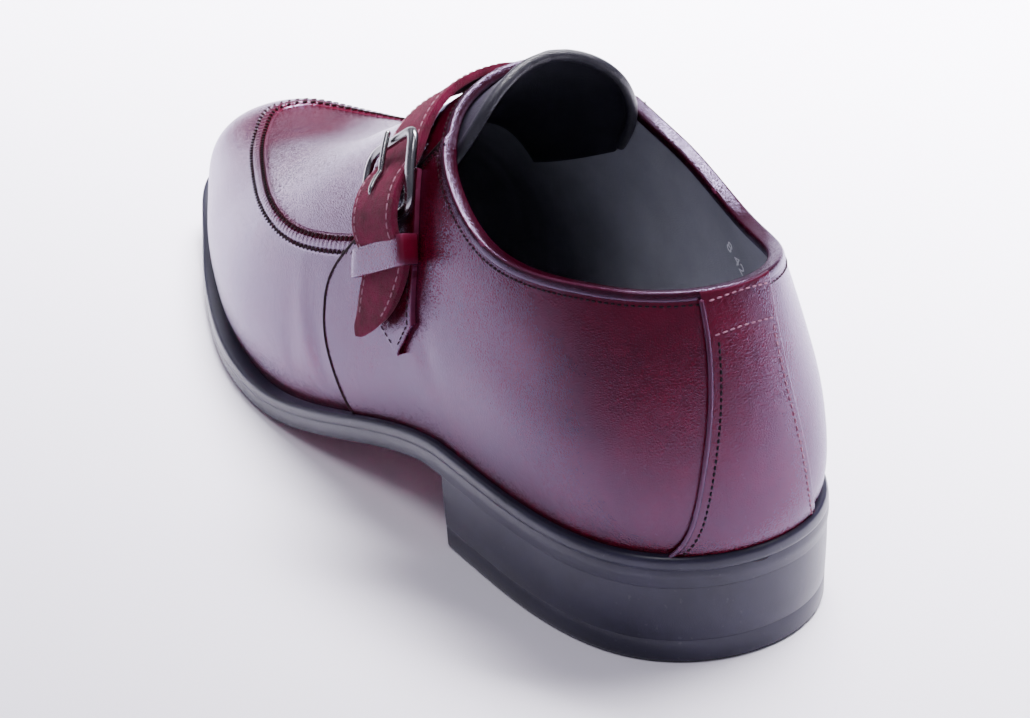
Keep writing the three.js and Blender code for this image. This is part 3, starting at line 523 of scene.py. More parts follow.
# %% Fine scratches and a little dust
tree, given, give = group(
    "handling_marks",
    [("Place", "Vector", None), ("Scratches", "Float", 0.5), ("Dust", "Float", 0.3)],
    [("Scratch Mask", "Float"), ("Dust Mask", "Float"), ("Roughness Change", "Float")],
)
stretched = node(tree, "Mapping", {"Vector": given["Place"], "Scale": (40.0, 900.0, 500.0), "Rotation": (0.3, 0.5, 0.9)})
lines = node(tree, "TexNoise", {"Vector": stretched.outputs["Vector"], "Scale": 1.0, "Detail": 2.0})
thin = node(tree, "MapRange", {"Value": lines.outputs["Fac"], "From Min": 0.66, "From Max": 0.72})
scratch = maths(tree, "MULTIPLY", thin.outputs["Result"], given["Scratches"])
specks = node(tree, "TexNoise", {"Vector": given["Place"], "Scale": 700.0, "Detail": 2.0})
few = node(tree, "MapRange", {"Value": specks.outputs["Fac"], "From Min": 0.68, "From Max": 0.76})
dust = maths(tree, "MULTIPLY", few.outputs["Result"], given["Dust"])
smudge = node(tree, "TexNoise", {"Vector": given["Place"], "Scale": 45.0, "Detail": 3.0})
change = maths(tree, "ADD", maths(tree, "MULTIPLY", scratch, 0.15), maths(tree, "MULTIPLY", smudge.outputs["Fac"], 0.06))
give("Scratch Mask", scratch)
give("Dust Mask", dust)
give("Roughness Change", change)
print("groups:", [g.name for g in bpy.data.node_groups])

# %% [markdown]
# ## The finishes
# The upper is calf leather with a burgundy dye and a glazed top coat. The coat is nearly a mirror at low
# angles, which is why most of the shoe shows the pale studio and only the parts that face something dark
# show the dye. A high index on the base and a clear coat over it give the two layers.

# %% Glazed burgundy leather
def glazed_leather(name, light, dark, pore=0.0006, crease=0.1, bump=0.2, roughness=0.08):
    made, tree, shader, place = material(name)
    colour = use(tree, "mottled_colour", {"Place": place, "Scale": 38.0, "Light": light, "Dark": dark, "Sharpness": 0.22})
    marks = use(tree, "handling_marks", {"Place": place, "Scratches": 0.35, "Dust": 0.04})
    worn = use(tree, "edge_wear", {"Place": place, "Amount": 0.8})["Mask"]
    edged = blend(tree, worn, colour["Colour"], linear(150, 80, 105))
    dusty = blend(tree, marks["Dust Mask"], edged, linear(170, 150, 160))
    tree.links.new(dusty, shader.inputs["Base Color"])
    rough = maths(tree, "ADD", marks["Roughness Change"], roughness)
    tree.links.new(rough, shader.inputs["Roughness"])
    grain = use(tree, "leather_grain", {"Place": place, "Pore Size": pore, "Crease Depth": crease})
    relief = node(tree, "Bump", {"Height": grain["Height"], "Strength": bump, "Distance": 0.0002})
    tree.links.new(relief.outputs["Normal"], shader.inputs["Normal"])
    tree.links.new(relief.outputs["Normal"], shader.inputs["Coat Normal"])
    set_shader(shader, IOR=1.68, Specular_Tint=(0.84, 0.74, 1, 1))
    # The coat is a clear glaze with a violet cast, which grows deeper at low angles.
    set_shader(shader, Coat_Weight=1.0, Coat_Roughness=0.2, Coat_IOR=1.08, Coat_Tint=(0.68, 0.63, 0.76, 1))
    return made


BURGUNDY_LIGHT = linear(104, 18, 38)
BURGUNDY_DARK = linear(66, 8, 23)
burgundy = glazed_leather("glazed_burgundy_leather", BURGUNDY_LIGHT, BURGUNDY_DARK)
binding_leather = glazed_leather("binding_leather", linear(66, 8, 28), linear(36, 4, 16), pore=0.0004)

# %% Plain finishes for the lining, the suede, the sole and the metal
def grained(name, light, dark, roughness, pore, bump, scale=40.0, ior=1.5, marks=(0.3, 0.05), distance=0.0003):
    """A finish of mottled colour, leather grain and handling marks."""
    made, tree, shader, place = material(name)
    colour = use(tree, "mottled_colour", {"Place": place, "Scale": scale, "Light": light, "Dark": dark, "Sharpness": 0.25})
    wear = use(tree, "handling_marks", {"Place": place, "Scratches": marks[0], "Dust": marks[1]})
    dusty = blend(tree, wear["Dust Mask"], colour["Colour"], linear(150, 145, 150))
    tree.links.new(dusty, shader.inputs["Base Color"])
    tree.links.new(maths(tree, "ADD", wear["Roughness Change"], roughness), shader.inputs["Roughness"])
    grain = use(tree, "leather_grain", {"Place": place, "Pore Size": pore, "Crease Depth": 0.3})
    relief = node(tree, "Bump", {"Height": grain["Height"], "Strength": bump, "Distance": distance})
    tree.links.new(relief.outputs["Normal"], shader.inputs["Normal"])
    set_shader(shader, IOR=ior)
    return made


# The lining is really dark leather. Its colour here is a light grey: painted light for the inside of the shoe and the
# insole, which the lamps hardly reach. The tongue keeps the dark colour.
lining_leather = grained("lining_leather", linear(166, 167, 176), linear(136, 137, 146), 0.42, 0.0006, 0.25)
tongue_leather = grained("tongue_leather", linear(40, 38, 48), linear(26, 25, 33), 0.38, 0.0006, 0.25)
sole_edge = grained("dressed_sole_edge", linear(49, 47, 63), linear(32, 31, 44), 0.28, 0.0005, 0.05, ior=1.36)
outsole_leather = grained("polished_outsole_leather", linear(150, 60, 92), linear(104, 26, 54), 0.25, 0.0004, 0.08, ior=1.7)
heel_rubber = grained("heel_rubber", linear(30, 29, 33), linear(18, 18, 21), 0.55, 0.0009, 0.3)
# The dark thread is partly the thread's own colour and partly painted shade of the stitch holes and valleys, so the
# rows read as dark dots.
thread = grained("dark_thread_painted_hole_shade", linear(32, 14, 22), linear(20, 8, 14), 0.7, 0.0003, 0.4, ior=1.25)
light_thread = grained("light_thread", linear(150, 96, 116), linear(120, 60, 84), 0.55, 0.0003, 0.4)
suede = grained("burgundy_suede", linear(112, 3, 56), linear(66, 1, 30), 0.95, 0.0004, 0.6, scale=220.0, distance=0.0006)
set_shader(suede.node_tree.nodes["Principled BSDF"], Sheen_Weight=0.05, Sheen_Roughness=0.4, IOR=1.3)
gunmetal = grained("gunmetal", linear(150, 148, 150), linear(112, 110, 114), 0.2, 0.0004, 0.05, marks=(0.8, 0.2))
gunmetal.node_tree.nodes["Principled BSDF"].inputs["Metallic"].default_value = 1.0
floor_finish = grained("studio_floor", linear(242, 238, 248), linear(239, 235, 246), 0.7, 0.004, 0.02, scale=2.0, marks=(0.0, 0.0))

bpy.ops.mesh.primitive_plane_add(size=9, location=(0, 0, 0))
floor = bpy.context.object
floor.name = "floor"
floor.data.materials.append(floor_finish)
floor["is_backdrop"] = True
print("finishes:", [m.name for m in bpy.data.materials][:20])

# %% [markdown]
# ## Cutting and pulling leather
# Every panel starts as Blender's grid primitive, one unit long and wide, like a piece of leather cut from a
# pattern. Then each of its points is laid where a function of the two sides says. Solidify gives the
# leather its thickness, and Bevel rounds its cut edge.

# %% Tools for pieces
def lay(name, place, long_count, wide_count, weld=False):
    """A grid whose points are laid by place(u, v), where u and v run from 0 to 1."""
    bpy.ops.object.select_all(action="DESELECT")
    bpy.ops.mesh.primitive_grid_add(x_subdivisions=long_count, y_subdivisions=wide_count, size=1, location=(0.5, 0.5, 0))
    piece = bpy.context.object
    piece.name = piece.data.name = name
    bpy.ops.object.transform_apply(location=True)
    flat = np.empty(3 * len(piece.data.vertices))
    piece.data.vertices.foreach_get("co", flat)
    u, v = np.clip(flat.reshape(-1, 3)[:, :2].T, 0, 1)
    piece.data.vertices.foreach_set("co", np.asarray(place(u, v), float).ravel())
    piece.data.update()
    if weld:
        edit(piece, lambda: bpy.ops.mesh.remove_doubles(threshold=2e-6))
    return piece


def lay_rows(name, rows, weld=True):
    """A grid whose points are given row by row."""
    rows = np.asarray(rows, float)
    long_count, wide_count = rows.shape[0] - 1, rows.shape[1] - 1

    def place(u, v):
        return rows[np.rint(u * long_count).astype(int), np.rint(v * wide_count).astype(int)]

    piece = lay(name, place, long_count, wide_count, weld)
    close_up(piece)
    return piece


def volume(piece):
    """The signed volume of a closed piece, which is below 0 where its faces look inwards."""
    piece.data.calc_loop_triangles()
    points = np.array([v.co[:] for v in piece.data.vertices])
    corners = points[[list(t.vertices) for t in piece.data.loop_triangles]]
    return np.linalg.det(corners).sum() / 6


def close_up(piece):
    """Fills open ends and turns all faces outwards."""
    edit(piece, lambda: bpy.ops.mesh.fill_holes(sides=0), lambda: bpy.ops.mesh.normals_make_consistent(inside=False))
    if volume(piece) < 0:
        edit(piece, bpy.ops.mesh.flip_normals)


def edit(piece, *steps):
    """Runs edit-mode steps on the whole of one piece."""
    bpy.ops.object.select_all(action="DESELECT")
    piece.select_set(True)
    bpy.context.view_layer.objects.active = piece
    bpy.ops.object.mode_set(mode="EDIT")
    bpy.ops.mesh.select_all(action="SELECT")
    for step in steps:
        step()
    bpy.ops.object.mode_set(mode="OBJECT")


def face_away(piece, inside):
    """Turns all faces round where most of them look towards a point or a line of points inside."""
    centres = np.empty(3 * len(piece.data.polygons))
    normals = np.empty_like(centres)
    piece.data.polygons.foreach_get("center", centres)
    piece.data.polygons.foreach_get("normal", normals)
    centres, normals = centres.reshape(-1, 3), normals.reshape(-1, 3)
    if ((centres - inside(centres)) * normals).sum() < 0:
        edit(piece, bpy.ops.mesh.flip_normals)


def foot_axis(points):
    """The line through the middle of the shoe, along its length."""
    axis = points.copy()
    axis[:, 0] = np.clip(axis[:, 0], -0.1, 0.09)
    axis[:, 1] = BALL_WIDTH * centre_line(np.clip((axis[:, 0] - SHIFT[0]) / LAST_LENGTH, 0, 1)) + SHIFT[1]
    axis[:, 2] = 0.035
    return axis


def apply(piece, kind, **options):
    bpy.ops.object.select_all(action="DESELECT")
    piece.select_set(True)
    bpy.context.view_layer.objects.active = piece
    modifier = piece.modifiers.new(kind.lower(), kind)
    for name, value in options.items():
        setattr(modifier, name, value)
    bpy.ops.object.modifier_apply(modifier=modifier.name)


def thicken(piece, thickness, rounding=0.0, inside=foot_axis):
    """Gives a laid sheet its thickness inwards and rounds its cut edges."""
    face_away(piece, inside)
    apply(piece, "SOLIDIFY", thickness=thickness, offset=-1.0, use_even_offset=True)
    if rounding:
        apply(piece, "BEVEL", width=rounding, segments=2, limit_method="ANGLE", angle_limit=math.radians(50))


def dress(piece, finish, nodes, smooth=40):
    """Gives a piece its finish and its place in the part."""
    piece.data.materials.clear()
    piece.data.materials.append(finish)
    bpy.ops.object.select_all(action="DESELECT")
    piece.select_set(True)
    bpy.context.view_layer.objects.active = piece
    bpy.ops.object.shade_smooth_by_angle(angle=math.radians(smooth))
    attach(piece, "root")
    if nodes:
        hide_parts(*nodes.split())
    print(piece.name, len(piece.data.polygons), "faces")
    return piece


# %% [markdown]
# A stitch is a short length of thread. One is modelled and then copied along a line at an even pitch, with
# each copy turned along the line and pressed into the leather.

# %% A row of stitches
bpy.ops.object.select_all(action="DESELECT")
bpy.ops.mesh.primitive_uv_sphere_add(segments=8, ring_count=5, radius=1)
stitch_pattern = bpy.context.object
STITCH_POINTS = np.array([v.co[:] for v in stitch_pattern.data.vertices])
STITCH_FACES = [list(p.vertices) for p in stitch_pattern.data.polygons]
# The poles lie along x and the ends are blunt, as a thread that dives into its hole.
STITCH_POINTS = STITCH_POINTS[:, [2, 0, 1]]
STITCH_POINTS[:, 0] = np.sign(STITCH_POINTS[:, 0]) * np.abs(STITCH_POINTS[:, 0]) ** 0.6
bpy.ops.object.delete()


def frames_along(points, normals):
    """Directions along a line, across it and out of the surface."""
    along = np.gradient(points, axis=0)
    along /= np.linalg.norm(along, axis=1, keepdims=True)
    across = np.cross(normals, along)
    across /= np.linalg.norm(across, axis=1, keepdims=True)
    return along, across, np.cross(along, across)


def spaced(points, normals, pitch):
    """Places at an even pitch along a line of points."""
    steps = np.linalg.norm(np.diff(points, axis=0), axis=1)
    run = np.concatenate([[0], np.cumsum(steps)])
    count = max(1, int(round(run[-1] / pitch)))
    places = (np.arange(count) + 0.5) * run[-1] / count
    pick = lambda values: np.stack([np.interp(places, run, values[:, k]) for k in range(3)], 1)
    along, across, out = frames_along(points, normals)
    return pick(points), pick(along), pick(across), pick(out)


def stitch_row(name, lines, pitch, length, radius, slant=0.0):
    """Stitches along one or more lines, given as points and normals, as one mesh."""
    points, faces = [], []
    for line, normals in lines:
        centres, along, across, out = spaced(np.asarray(line), np.asarray(normals), pitch)
        turned = along * math.cos(slant) + across * math.sin(slant)
        side = across * math.cos(slant) - along * math.sin(slant)
        x, y, z = (STITCH_POINTS * (length / 2, radius, radius)).T
        for centre, t, s, n in zip(centres, turned, side, out):
            start = len(points) * len(STITCH_POINTS)
            points.append(centre + x[:, None] * t + y[:, None] * s + z[:, None] * n)
            faces += [[start + i for i in face] for face in STITCH_FACES]
    mesh = bpy.data.meshes.new(name)
    mesh.from_pydata(np.concatenate(points).tolist(), [], faces)
    piece = bpy.data.objects.new(name, mesh)
    bpy.context.collection.objects.link(piece)
    close_up(piece)
    return piece


def skin_line(stations, rises, lift=0.0):
    """A line on the skin with its normals."""
    stations, rises = np.broadcast_arrays(np.asarray(stations, float), np.asarray(rises, float))
    return skin(stations, rises, lift), normal_at(stations, rises)


print("one stitch has", len(STITCH_FACES), "faces")

# %% [markdown]
# ## The upper's panels
# The upper has a vamp round the toe with a raised apron seam, two quarters that wrap the heel, and a
# strip over the back seam. Their edges are lines on the last, given by short tables of station and rise.

# %% Lines where the panels are cut
QUARTER_FRONT = table(
    "rise station",
    (0, 0.43), (0.105, 0.434), (0.21, 0.44), (0.3, 0.446), (0.37, 0.4475), (0.43, 0.445), (0.47, 0.4375),
    (0.51, 0.424), (0.58, 0.397), (0.64, 0.372), (0.7, 0.342), (0.8, 0.3), (1, 0.25),
)
BACK_STRIP = table(
    "rise station", (0, 0.088), (0.12, 0.069), (0.25, 0.0565), (0.4, 0.0445), (0.48, 0.045), (0.55, 0.052)
)
APRON = table(
    "station rise",
    (0.425, 0.5), (0.47, 0.505), (0.515, 0.521), (0.56, 0.554), (0.62, 0.602), (0.7, 0.66), (0.775, 0.712),
    (0.87, 0.785), (0.95, 0.82), (1, 0.832),
)
quarter_front = spline(QUARTER_FRONT["rise"], QUARTER_FRONT["station"])
strip_edge = spline(BACK_STRIP["rise"], BACK_STRIP["station"])
apron_line = spline(APRON["station"], APRON["rise"])
shares = np.linspace(0, 1, 97)


def collar_corner(side):
    """For shares of the quarter's length, the rise where it meets the collar."""
    return solve(lambda rise: over_collar(side * shares * quarter_front(rise), rise), 0.3 + 0 * shares, 1.05 + 0 * shares)


quarter_top = {side: collar_corner(side) for side in (LATERAL, MEDIAL)}
throat_rises = np.linspace(0, 1, 201)
throat_station = {
    side: solve(lambda station: -over_collar(side * station, throat_rises), 0.1 + 0 * throat_rises, 0.45 + 0 * throat_rises)
    for side in (LATERAL, MEDIAL)
}
print("throat corners at rise", quarter_top[LATERAL][-1].round(3), quarter_top[MEDIAL][-1].round(3))

# %% [markdown]
# Worn and even new leather isn't quite even where the shoe bends. The main creases are listed one by one: each
# is a soft trough or ridge with a place, a direction, a length, a width and a depth.

# %% Creases
CREASES = table(
    "station rise angle length width depth",
    (0.455, 0.22, 78, 26, 3.2, 0.3), (0.475, 0.3, 70, 30, 2.6, -0.22), (0.49, 0.2, 82, 22, 3.0, 0.26),
    (0.56, 0.86, 12, 24, 4.0, 0.28), (0.535, 0.95, 4, 30, 3.4, -0.2), (0.51, 0.84, -8, 22, 3.6, 0.24),
    (0.3, 0.66, 36, 20, 1.6, 0.18), (0.285, 0.6, 30, 24, 1.8, -0.14), (0.265, 0.58, 24, 18, 1.4, 0.14),
    (0.24, 0.36, 8, 34, 6.0, 0.3), (0.17, 0.3, -6, 30, 7.0, -0.28), (0.34, 0.3, 62, 28, 4.0, 0.25),
)


def crease_lift(station, rise):
    """How far the creases raise or sink the leather, for both sides of the shoe."""
    mirrored = 1 - np.abs(1 - np.abs(station))
    total = 0 * station
    for place, height, angle, length, width, depth in zip(*CREASES.values()):
        metres = LAST_LENGTH * np.pi / 2 * np.sin(np.pi * place)
        x, y = (mirrored - place) * metres, (rise - height) * 0.1
        turn = math.radians(angle)
        along, across = x * math.cos(turn) + y * math.sin(turn), y * math.cos(turn) - x * math.sin(turn)
        fade = np.exp(-((along / (length * MM / 2)) ** 2) - (across / (width * MM)) ** 2)
        total = total - depth * MM * fade
    return total


# %% [markdown]
# The vamp is one sheet from the throat round the toe to the other side of the throat. Two halves of the
# grid meet along the ridge, where their points are merged.

# %% Vamp
VAMP_START = 0.3


def soft_step(x, low, high):
    t = np.clip((np.asarray(x, float) - low) / (high - low), 0, 1)
    return t * t * (3 - 2 * t)


def vamp_place(lift):
    def place(u, v):
        starts = [np.maximum(VAMP_START, np.interp(v, throat_rises, throat_station[s])) for s in (LATERAL, MEDIAL)]
        station = starts[0] + (2 - starts[0] - starts[1]) * u
        return skin(station, v, lift + crease_lift(np.where(station > 1, 2 - station, station), v))

    return place


vamp = lay("vamp", vamp_place(0.0), 260, 76, weld=True)
thicken(vamp, 1.1 * MM)
dress(vamp, burgundy, "upper")

# %% Vamp lining
vamp_lining = lay("vamp_lining", vamp_place(-1.2 * MM), 150, 40, weld=True)
thicken(vamp_lining, 1.0 * MM)
dress(vamp_lining, lining_leather, "upper")

# %% [markdown]
# The raised apron seam is a soft roll of leather with two rows of stitches sunk into it. Between them the
# leather puckers at every stitch.

# %% Apron seam
APRON_HALF = 3.3 * MM
APRON_ROWS = 1.75 * MM
APRON_PITCH = 2.6 * MM
APRON_START = 0.40
apron_stations = np.linspace(APRON_START, 2 - APRON_START, 901)
apron_rises = apron_line(np.minimum(apron_stations, 2 - apron_stations))
seam_line, seam_normals = skin_line(apron_stations, apron_rises)
seam_run = np.concatenate([[0], np.cumsum(np.linalg.norm(np.diff(seam_line, axis=0), axis=1))])


def rise_per_metre(stations, rises):
    step = 1e-3
    return 2 * step / np.linalg.norm(bare(stations, rises + step) - bare(stations, rises - step), axis=-1)


seam_rise_step = rise_per_metre(apron_stations, apron_rises)


def seam_lift(across, run):
    """The roll's height over the last: a soft crown with a valley at each row of stitches."""
    crown = 1.25 * MM * np.cos(np.clip(across / APRON_HALF, -1, 1) * np.pi / 2) ** 0.8
    valleys = sum(np.exp(-(((across - row) / (0.42 * MM)) ** 2)) for row in (-APRON_ROWS, APRON_ROWS))
    beat = 0.5 + 0.5 * np.cos(2 * np.pi * run / APRON_PITCH)
    between = np.exp(-((across / (1.35 * MM)) ** 2))
    return crown - 0.2 * MM - valleys * 0.3 * MM * (0.6 + 0.4 * beat) - 0.13 * MM * beat * between


def seam_place(u, v):
    index = np.rint(u * 900).astype(int)
    across = APRON_HALF * (2 * v - 1)
    rise = apron_rises[index] + across * seam_rise_step[index]
    return skin(apron_stations[index], rise, seam_lift(across, seam_run[index]))


apron_seam = lay("apron_seam", seam_place, 900, 22)
thicken(apron_seam, 0.4 * MM)
dress(apron_seam, burgundy, "upper", smooth=60)

seam_rows = []
for row in (-APRON_ROWS, APRON_ROWS):
    rises = apron_rises + row * seam_rise_step
    seam_rows.append(skin_line(apron_stations, rises, 0.78 * MM))
apron_stitches = stitch_row("apron_stitches", seam_rows, APRON_PITCH, 1.9 * MM, 0.36 * MM, slant=0.8)
dress(apron_stitches, thread, "upper")

# %% [markdown]
# Each quarter runs from the back of the heel to its front edge, and from the welt to the collar. It lies
# over the vamp, so its front edge is a step that catches the light.

# %% Quarters
def quarter_place(side, lift):
    def place(u, v):
        rise = v * np.interp(u, shares, quarter_top[side])
        station = u * quarter_front(rise)
        inner = soft_step(u, 0.12, 0.2) * (1 - soft_step(u, 0.88, 0.97)) * (1 - soft_step(v, 0.9, 0.97))
        return skin(side * station, rise, lift + inner * crease_lift(station, rise))

    return place


for side, name in ((LATERAL, "quarter_lateral"), (MEDIAL, "quarter_medial")):
    quarter = lay(name, quarter_place(side, QUARTER_STEP), 150, 90)
    thicken(quarter, 1.5 * MM, 0.35 * MM)
    dress(quarter, burgundy, "upper")
    quarter_lining = lay(name + "_lining", quarter_place(side, -1.0 * MM), 90, 50)
    thicken(quarter_lining, 1.2 * MM)
    dress(quarter_lining, lining_leather, "upper")

# %% Back strip
def strip_place(u, v):
    share = 2 * u - 1
    tops = [np.interp(0.1, shares, quarter_top[s]) for s in (LATERAL, MEDIAL)]
    rise = v * (tops[0] + tops[1]) / 2
    return skin(strip_edge(np.minimum(rise, 0.56)) * share, rise, STRIP_STEP)


back_strip = lay("back_strip", strip_place, 40, 120)
thicken(back_strip, 1.0 * MM, 0.35 * MM)
dress(back_strip, burgundy, "upper")

# %% [markdown]
# The strip's outer edge is turned over a cord and stands up as a thin ridge. A row of stitches runs beside
# it, a lighter row runs along the other edge, and two rows cross the strip under the collar.

# %% Ridge and stitches of the back strip
def tube(name, points, normals, radius, count=10):
    """A thin closed cord along a line."""
    ends = np.ones(len(points))
    ends[[0, -1]] = 0.05
    along, across, out = frames_along(points, normals)
    angles = np.linspace(0, 2 * np.pi, count + 1)
    rows = [
        [p + radius * e * (math.cos(a) * s + math.sin(a) * n) for a in angles]
        for p, s, n, e in zip(points, across, out, ends)
    ]
    return lay_rows(name, rows)


strip_rises = np.linspace(0, np.interp(0.1, shares, quarter_top[LATERAL]) - 0.01, 200)
strip_sides = strip_edge(np.minimum(strip_rises, 0.56))
heel_length = 2e-3 / np.linalg.norm(bare(strip_sides + 1e-3, strip_rises) - bare(strip_sides - 1e-3, strip_rises), axis=-1)
ridge_line, ridge_normals = skin_line(strip_sides, strip_rises, STRIP_STEP - 0.15 * MM)
strip_ridge = tube("back_strip_ridge", ridge_line, ridge_normals, 0.6 * MM)
dress(strip_ridge, binding_leather, "upper", smooth=80)


def strip_row(side, inset, low, high):
    kept = (strip_rises >= low) & (strip_rises <= high)
    stations = side * (strip_sides - inset * heel_length)[kept]
    return skin_line(stations, strip_rises[kept], STRIP_STEP + 0.02 * MM)


def height_rise(z):
    """The rise where the back of the heel is z above the floor."""
    return float(solve(lambda rise: bare(0 * rise, rise)[..., 2] - z, np.array([0.05]), np.array([0.9]))[0])


rows = [strip_row(LATERAL, 2.1 * MM, 0.02, height_rise(75 * MM))]
strip_stitches = stitch_row("back_strip_stitches", rows, 1.5 * MM, 1.0 * MM, 0.28 * MM)
dress(strip_stitches, thread, "upper")
light_rows = [strip_row(MEDIAL, 1.8 * MM, 0.02, height_rise(75 * MM))]
for z in (76 * MM, 83 * MM):
    across = np.linspace(-0.86, 0.86, 60) * float(strip_edge(height_rise(z)))
    light_rows.append(skin_line(across, height_rise(z) + 0.006 * np.cos(across / across.max() * 1.5), STRIP_STEP + 0.02 * MM))
strip_light = stitch_row("back_strip_light_stitches", light_rows, 1.8 * MM, 1.2 * MM, 0.2 * MM)
dress(strip_light, light_thread, "upper")

# %% [markdown]
# A thin dark cord lies along the quarter's cut front edge. It is partly the edge's dark dye and partly painted shade
# of the step between quarter and vamp, and it draws the line between them. At the throat two rows of stitches hold it
# down.

# %% Dark edge cord, partly dye and partly painted shade, and stitches of the quarters
front_rises = np.linspace(0.004, 1, 260)
edge_rows, throat_rows = [], []
for side in (LATERAL, MEDIAL):
    rises = front_rises * quarter_top[side][-1]
    stations = side * quarter_front(rises)
    edge_metre = 2e-3 / np.linalg.norm(bare(stations + 1e-3, rises) - bare(stations - 1e-3, rises), axis=-1)
    line, normals = skin_line(stations + side * 0.2 * MM * edge_metre, rises, 0.75 * MM)
    edge_dye_and_shade_cord = tube("quarter_edge_dye_and_shade_" + ("lateral" if side > 0 else "medial"), line, normals, 0.5 * MM)
    dress(edge_dye_and_shade_cord, thread, "upper", smooth=80)
    for inset in (1.8 * MM, 4.0 * MM):
        kept = rises > 0.5
        throat_rows.append(skin_line((stations - side * inset * edge_metre)[kept][:-4], rises[kept][:-4], QUARTER_STEP + 0.03 * MM))
throat_stitches = stitch_row("throat_stitches", throat_rows, 1.5 * MM, 1.0 * MM, 0.22 * MM)
dress(throat_stitches, thread, "upper")

# %% [markdown]
# The collar is bound with a narrow strip of thin leather that is folded over the top of the wall. It is
# swept round the whole opening: one profile, carried along the collar's line.

# %% The collar's line
def collar_line(lift):
    """Stations and rises round the whole opening, from the ridge and back."""
    stations, rises = [], []
    corner = quarter_top[LATERAL][-1]
    descent = np.linspace(1, corner, 60)
    stations += list(np.interp(descent, throat_rises, throat_station[LATERAL]))
    rises += list(descent)
    for side, order in ((LATERAL, shares[::-1][1:]), (MEDIAL, shares[1:])):
        tops = np.interp(order, shares, quarter_top[side])
        stations += list(side * order * quarter_front(tops))
        rises += list(tops)
    ascent = np.linspace(quarter_top[MEDIAL][-1], 1, 60)[1:]
    stations += list(-np.interp(ascent, throat_rises, throat_station[MEDIAL]))
    rises += list(ascent)
    return np.array(stations), np.array(rises)


collar_stations, collar_rises = collar_line(0)
collar_points = bare(collar_stations, collar_rises) + SHIFT
collar_normals = normal_at(collar_stations, collar_rises)
collar_along, collar_up, _ = frames_along(collar_points, collar_normals)
if collar_up[:, 2].mean() < 0:
    collar_up = -collar_up
collar_cover = QUARTER_STEP * (1 - soft_step(collar_rises, quarter_top[LATERAL][-1] - 0.005, quarter_top[LATERAL][-1] + 0.02))
print("collar is", round(float(np.linalg.norm(np.diff(collar_points, axis=0), axis=1).sum() * 1000)), "mm round")

# %% Collar binding
def binding_rows():
    """Profile points as height over the collar's edge and depth, in mm, from the outside over the top."""
    outside = [(-2.1, -0.1), (-1.95, 0.2), (-1.2, 0.3), (-0.5, 0.28), (0.0, 0.15), (0.3, -0.25)]
    inside = [(0.35, -0.5), (0.3, -0.75), (0.05, -1.15), (-0.4, -1.35), (-1.6, -1.4), (-2.6, -1.3), (-2.9, -1.0)]
    rows = []
    for point, normal, up, cover in zip(collar_points, collar_normals, collar_up, collar_cover):
        row = [point + normal * (cover + out * MM) + up * height * MM for height, out in outside]
        row += [point + normal * (-WALL + (1.0 + out) * MM) + up * height * MM for height, out in inside]
        rows.append(row + row[:1])
    return rows


binding = lay_rows("collar_binding", binding_rows())
apply(binding, "SUBSURF", levels=1, render_levels=1)
dress(binding, binding_leather, "upper", smooth=80)
cover_line = collar_points + collar_normals * (collar_cover + 0.05 * MM)[:, None] - collar_up * 2.9 * MM
collar_stitches = stitch_row("collar_stitches", [(cover_line, collar_normals)], 1.5 * MM, 1.0 * MM, 0.22 * MM)
dress(collar_stitches, thread, "upper")

# %% [markdown]
# Size numbers are stamped small and pale inside the quarter. Blender's text is made a mesh, and its flat
# points are then laid on the lining in the same way as a panel.

# %% Size numbers
bpy.ops.object.select_all(action="DESELECT")
bpy.ops.object.text_add()
numbers = bpy.context.object
numbers.name = "size_numbers"
numbers.data.body = "8 42"
numbers.data.size = 4.8 * MM
bpy.ops.object.convert(target="MESH")
numbers.data.name = "size_numbers"
flat = np.array([v.co[:] for v in numbers.data.vertices])
NUMBER_STATION, NUMBER_HEIGHT = -0.285, 69 * MM
number_rise = float(solve(lambda rise: bare(NUMBER_STATION + 0 * rise, rise)[..., 2] - NUMBER_HEIGHT, np.array([0.05]), np.array([0.9]))[0])
number_metre = 2e-3 / np.linalg.norm(bare(NUMBER_STATION + 1e-3, number_rise) - bare(NUMBER_STATION - 1e-3, number_rise))
lean = 0.8
along = flat[:, 0] * math.cos(lean) + flat[:, 1] * math.sin(lean)
upward = flat[:, 1] * math.cos(lean) - flat[:, 0] * math.sin(lean)
stamped = skin(
    NUMBER_STATION + along * number_metre, number_rise + upward * rise_per_metre(NUMBER_STATION, number_rise),
    -WALL - 0.4 * MM,
)
numbers.data.vertices.foreach_set("co", stamped.ravel())
numbers.data.update()
apply(numbers, "SOLIDIFY", thickness=0.08 * MM)
stamp_foil = grained("stamp_foil", linear(245, 245, 250), linear(230, 230, 236), 0.4, 0.0003, 0.2)
dress(numbers, stamp_foil, "upper")

# %% [markdown]
# ## The strap and its buckle
# The strap is suede and comes from the inner side over the instep, through the buckle's frame and the
# keeper, and ends in a rounded tip. The tab that holds the buckle is glazed leather with a pointed end.

# %% Strap, tab, keeper and frame as lines on the last
STRAP_THICKNESS = 1.8 * MM
STRAP_WIDTH = 21 * MM
STRAP = table(
    "rise station lift front rear",
    (0.325, 0.373, 2.7, 0.46, -0.3), (0.34, 0.373, 2.6, 0.5, -0.08), (0.365, 0.3725, 2.35, 0.5, 0.14),
    (0.4, 0.372, 2.1, 0.5, 0.32), (0.44, 0.372, 1.75, 0.5, 0.43), (0.47, 0.373, 1.75, 0.5, 0.49),
    (0.51, 0.376, 2.95, 0.5, 0.5), (0.57, 0.379, 3.55, 0.5, 0.5), (0.62, 0.383, 2.6, 0.5, 0.5),
    (0.655, 0.3855, 1.45, 0.5, 0.5), (0.7, 0.389, 1.0, 0.5, 0.5), (0.8, 0.398, 0.88, 0.5, 0.5),
    (1.0, 0.412, 0.86, 0.5, 0.5), (1.3, 0.424, 0.86, 0.5, 0.5), (1.54, 0.432, 0.86, 0.5, 0.5),
)
